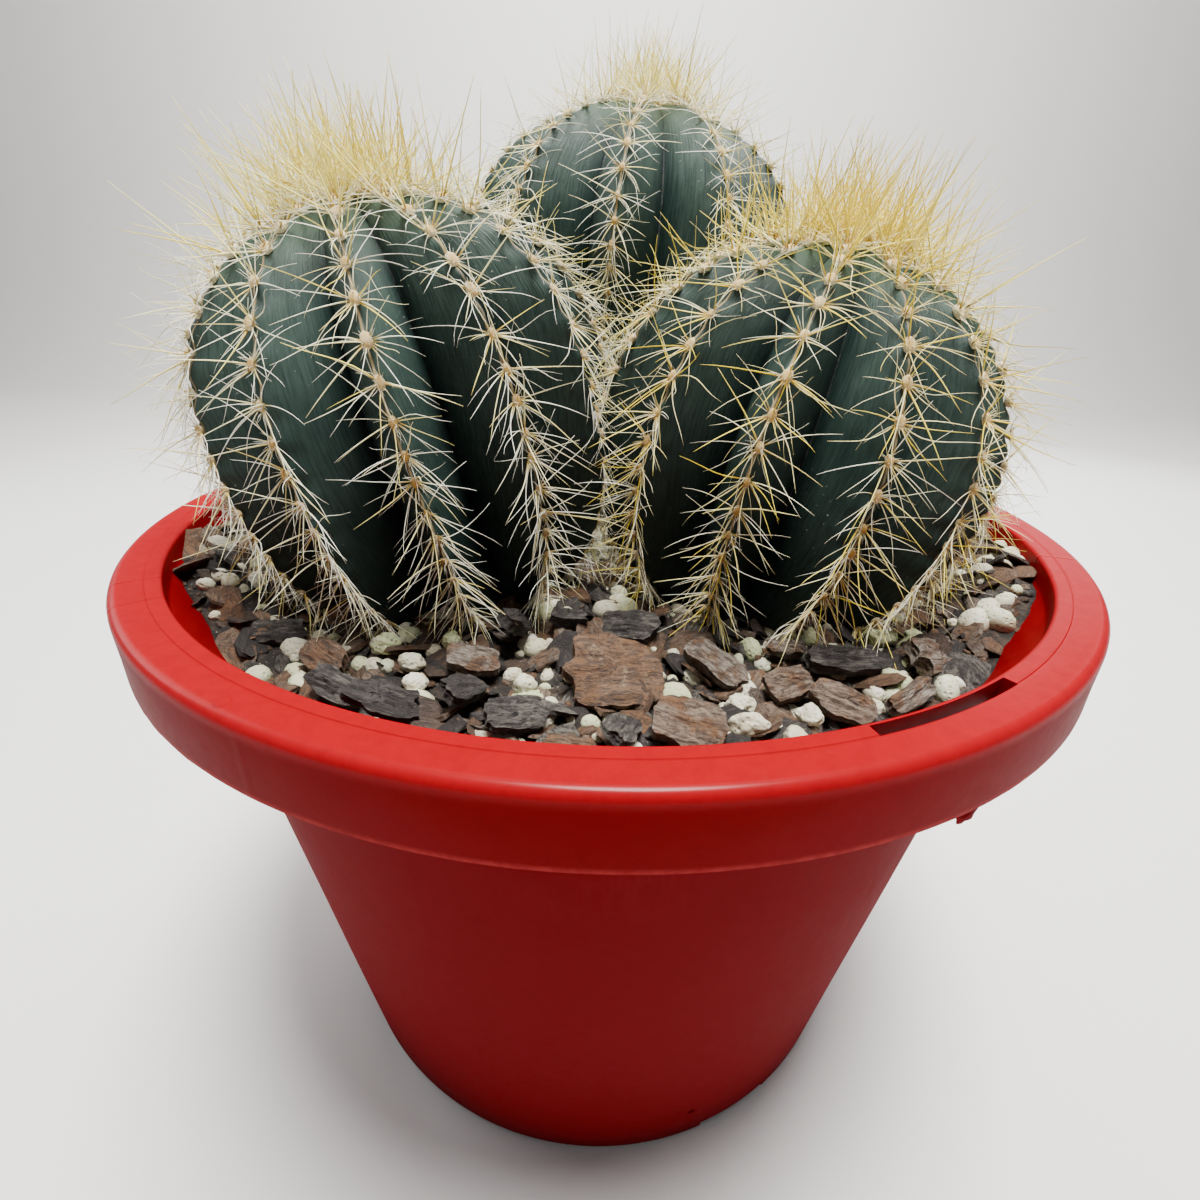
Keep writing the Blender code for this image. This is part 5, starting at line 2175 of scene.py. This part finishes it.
@dataclass(frozen=True)
class Studio:
    """A pale floor that curves up into a wall, soft lights and the camera."""

    paint: StagePaint
    camera_place: Color = (0.0, -0.1435, 0.1767)
    pitch: float = 0.45474
    yaw: float = -0.0097
    roll: float = 0.02473
    lens: float = 17.744
    sensor: float = 36.0
    lamps: tuple[Lamp, ...] = (
        Lamp((0.07, -0.07, 0.95), (0.0, 0.0, 0.12), 0.36, 24.0, (1.0, 0.985, 0.96)),
        Lamp((-0.70, 0.25, 0.50), (0.0, 0.0, 0.12), 0.5, 2.5, (0.97, 0.99, 1.0)),
        Lamp((0.60, 0.70, 0.50), (0.0, 0.0, 0.15), 0.5, 5.0, (1.0, 1.0, 1.0)),
        Lamp((0.0, 0.60, 1.25), (0.0, 1.6, 0.45), 1.2, 40.0, (1.0, 0.99, 0.97)),
    )
    sky: Color = (0.92, 0.94, 0.96)
    sky_strength: float = 0.22

    def aim_camera(self) -> None:
        """Place the camera by its pitch, yaw and roll."""
        flat = math.cos(self.pitch)
        ahead = Vector((math.sin(self.yaw) * flat, math.cos(self.yaw) * flat, -math.sin(self.pitch)))
        level = Vector((math.cos(self.yaw), -math.sin(self.yaw), 0.0))
        upright = level.cross(ahead)
        right = level * math.cos(self.roll) + upright * math.sin(self.roll)
        up = upright * math.cos(self.roll) - level * math.sin(self.roll)
        turn = Matrix((right, up, -ahead)).transposed().to_4x4()
        data = bpy.data.cameras.new("camera")
        data.lens = self.lens
        data.sensor_width = self.sensor
        data.clip_start = 0.005
        camera = bpy.data.objects.new("camera", data)
        camera.matrix_world = Matrix.Translation(self.camera_place) @ turn
        bpy.context.scene.collection.objects.link(camera)
        bpy.context.scene.camera = camera

    def sweep(self) -> bpy.types.Object:
        """Make the floor and the wall behind as one curved sheet."""
        reach, bend = 1.6, 0.5
        section = [(-2.0, 0.0), (-0.6, 0.0), (0.3, 0.0), (reach - bend, 0.0)]
        for step in range(1, 25):
            turn = math.pi / 2 * step / 24
            section.append((reach - bend + bend * math.sin(turn), bend - bend * math.cos(turn)))
        section.append((reach, 2.6))
        points = [(x * 1000, y * 1000, z * 1000) for y, z in section for x in (-2.4, 2.4)]
        faces = [(2 * row, 2 * row + 1, 2 * row + 3, 2 * row + 2) for row in range(len(section) - 1)]
        return link("studio_sweep", mesh_from(points, faces, "studio_sweep"))

    def build(self) -> None:
        """Make the camera, the stage and the lights."""
        self.aim_camera()
        sheet = self.sweep()
        sheet.data.materials.append(self.paint.build())
        for index, lamp in enumerate(self.lamps):
            lamp.build(f"lamp_{index + 1}")
        world = bpy.data.worlds.new("studio")
        world.use_nodes = True
        background = world.node_tree.nodes["Background"]
        background.inputs["Color"].default_value = (*self.sky, 1.0)
        background.inputs["Strength"].default_value = self.sky_strength
        bpy.context.scene.world = world


# The whole


GLOBES = (
    Globe("left", -30.6, -11.5, -0.211, -0.1, 83.7, 39.9, 13, 14.0, -76.7, 0.525, 2.5, 2.5, 2.1, 0.12, 3),
    Globe("right", 29.3, -12.1, 0.192, -0.062, 78.1, 40.4, 13, 14.5, -112.3, 0.496, 2.15, 2.15, 2.05, -0.2, 4),
    Globe("rear", -1.3, 50.0, 0.088, 0.027, 112.9, 45.7, 11, 16.4, -98.0, 0.68, 1.5, 2.1, 1.95, 0.2, 5),
)

CHIPS = (
    Chip(9.0, 7.6, 10, 4, 24, Tone.RUST, 3.0, 1.2),
    Chip(6.0, 3.3, 0, 5, 30, Tone.DARK, 2.6, 1.0),
    Chip(6.5, 3.4, -35, 12, 18, Tone.ASHEN, 2.6, 1.0),
    Chip(4.6, 3.4, 20, -6, 16, Tone.TAN, 2.4, 0.8),
    Chip(6.0, 4.4, -15, 6, 26, Tone.TAN, 2.4, 1.2),
    Chip(4.8, 3.0, 75, 20, 34, Tone.DARK, 2.6, 1.6),
    Chip(7.8, 3.0, 10, 6, 14, Tone.DARK, 2.8, 0.8),
    Chip(6.5, 5.0, 25, 8, 22, Tone.ASHEN, 3.0, 1.4),
    Chip(5.6, 3.4, -20, 8, 20, Tone.TAN, 2.6, 1.0),
    Chip(6.8, 4.8, 60, 10, 16, Tone.ASHEN, 3.0, 1.4),
    Chip(3.8, 2.4, 0, 12, 18, Tone.ASHEN, 2.4, 0.6),
    Chip(5.8, 2.2, 35, -8, 28, Tone.ASHEN, 2.4, 1.4),
    Chip(5.6, 3.8, 20, 8, 22, Tone.DARK, 2.6, 1.2),
    Chip(4.8, 3.4, -30, 10, 20, Tone.RUST, 2.6, 1.0),
    Chip(6.6, 2.9, -12, 10, 10, Tone.BLACK, 2.4, 5.2, 1.5),
    Chip(5.6, 2.9, -25, 12, 24, Tone.DARK, 2.6, 2.0),
    Chip(4.8, 3.3, 60, 16, 20, Tone.BLACK, 2.6, 1.6),
    Chip(5.2, 3.2, 25, 14, 22, Tone.DARK, 2.6, 1.6),
    Chip(4.8, 3.0, 75, 28, 30, Tone.BLACK, 2.8, 2.6),
    Chip(5.2, 3.3, 0, 10, 14, Tone.ASHEN, 2.4, 0.8),
    Chip(4.2, 2.4, 0, 8, 20, Tone.RUST, 2.2, 1.0),
    Chip(6.8, 3.2, 65, 6, 12, Tone.ASHEN, 2.6, 1.0),
    Chip(4.2, 2.2, 15, 8, 14, Tone.DARK, 2.4, 0.6),
    Chip(8.2, 5.4, 40, 8, 16, Tone.RUST, 3.0, 1.0),
    Chip(7.8, 5.2, 120, 10, 14, Tone.ASHEN, 2.8, 1.0),
    Chip(7.2, 5.0, -20, 8, 18, Tone.DARK, 2.8, 1.0),
    Chip(6.8, 4.4, 80, 12, 12, Tone.TAN, 2.6, 1.0),
    Chip(6.4, 4.2, 10, 8, 16, Tone.RUST, 2.6, 1.0),
    Chip(5.8, 4.0, -60, 10, 14, Tone.BLACK, 2.6, 1.0),
    Chip(5.4, 3.6, 30, 12, 18, Tone.ASHEN, 2.6, 1.0),
    Chip(4.9, 3.4, 95, 8, 14, Tone.DARK, 2.6, 1.0),
)


def main() -> None:
    """Build the studio, then the pot, the mix, what lies on it, and the plant."""
    logging.basicConfig(level=logging.INFO, format="%(name)s: %(message)s")
    Studio(StagePaint("pale_paint", "")).build()
    pot = Pot(RedPlastic("red_plastic_moulded", "red_plastic"))
    pot.build()
    bark = BarkFinish("weathered_bark", "brown_bark")
    stone = PumiceFinish("pitted_pumice", "pumice")
    mix = Mix(SoilFinish("damp_fines", "potting_mix"))
    mix.build(pot, GLOBES, bark, stone)
    BarkChips(bark, CHIPS).build()
    PumiceGrains(stone, frozenset({3, 6, 7, 10, 13, 16})).build()
    Twigs(bark).build()
    cactus = Cactus(
        CactusSkin("waxy_skin", "cactus_skin"),
        SpineFinish("horny_spines", "spines_and_wool"),
        WoolFinish("areole_felt", "spines_and_wool"),
        GLOBES,
    )
    cactus.build(lambda radius: mix.level(pot, radius))


if __name__ == "__main__":
    main()
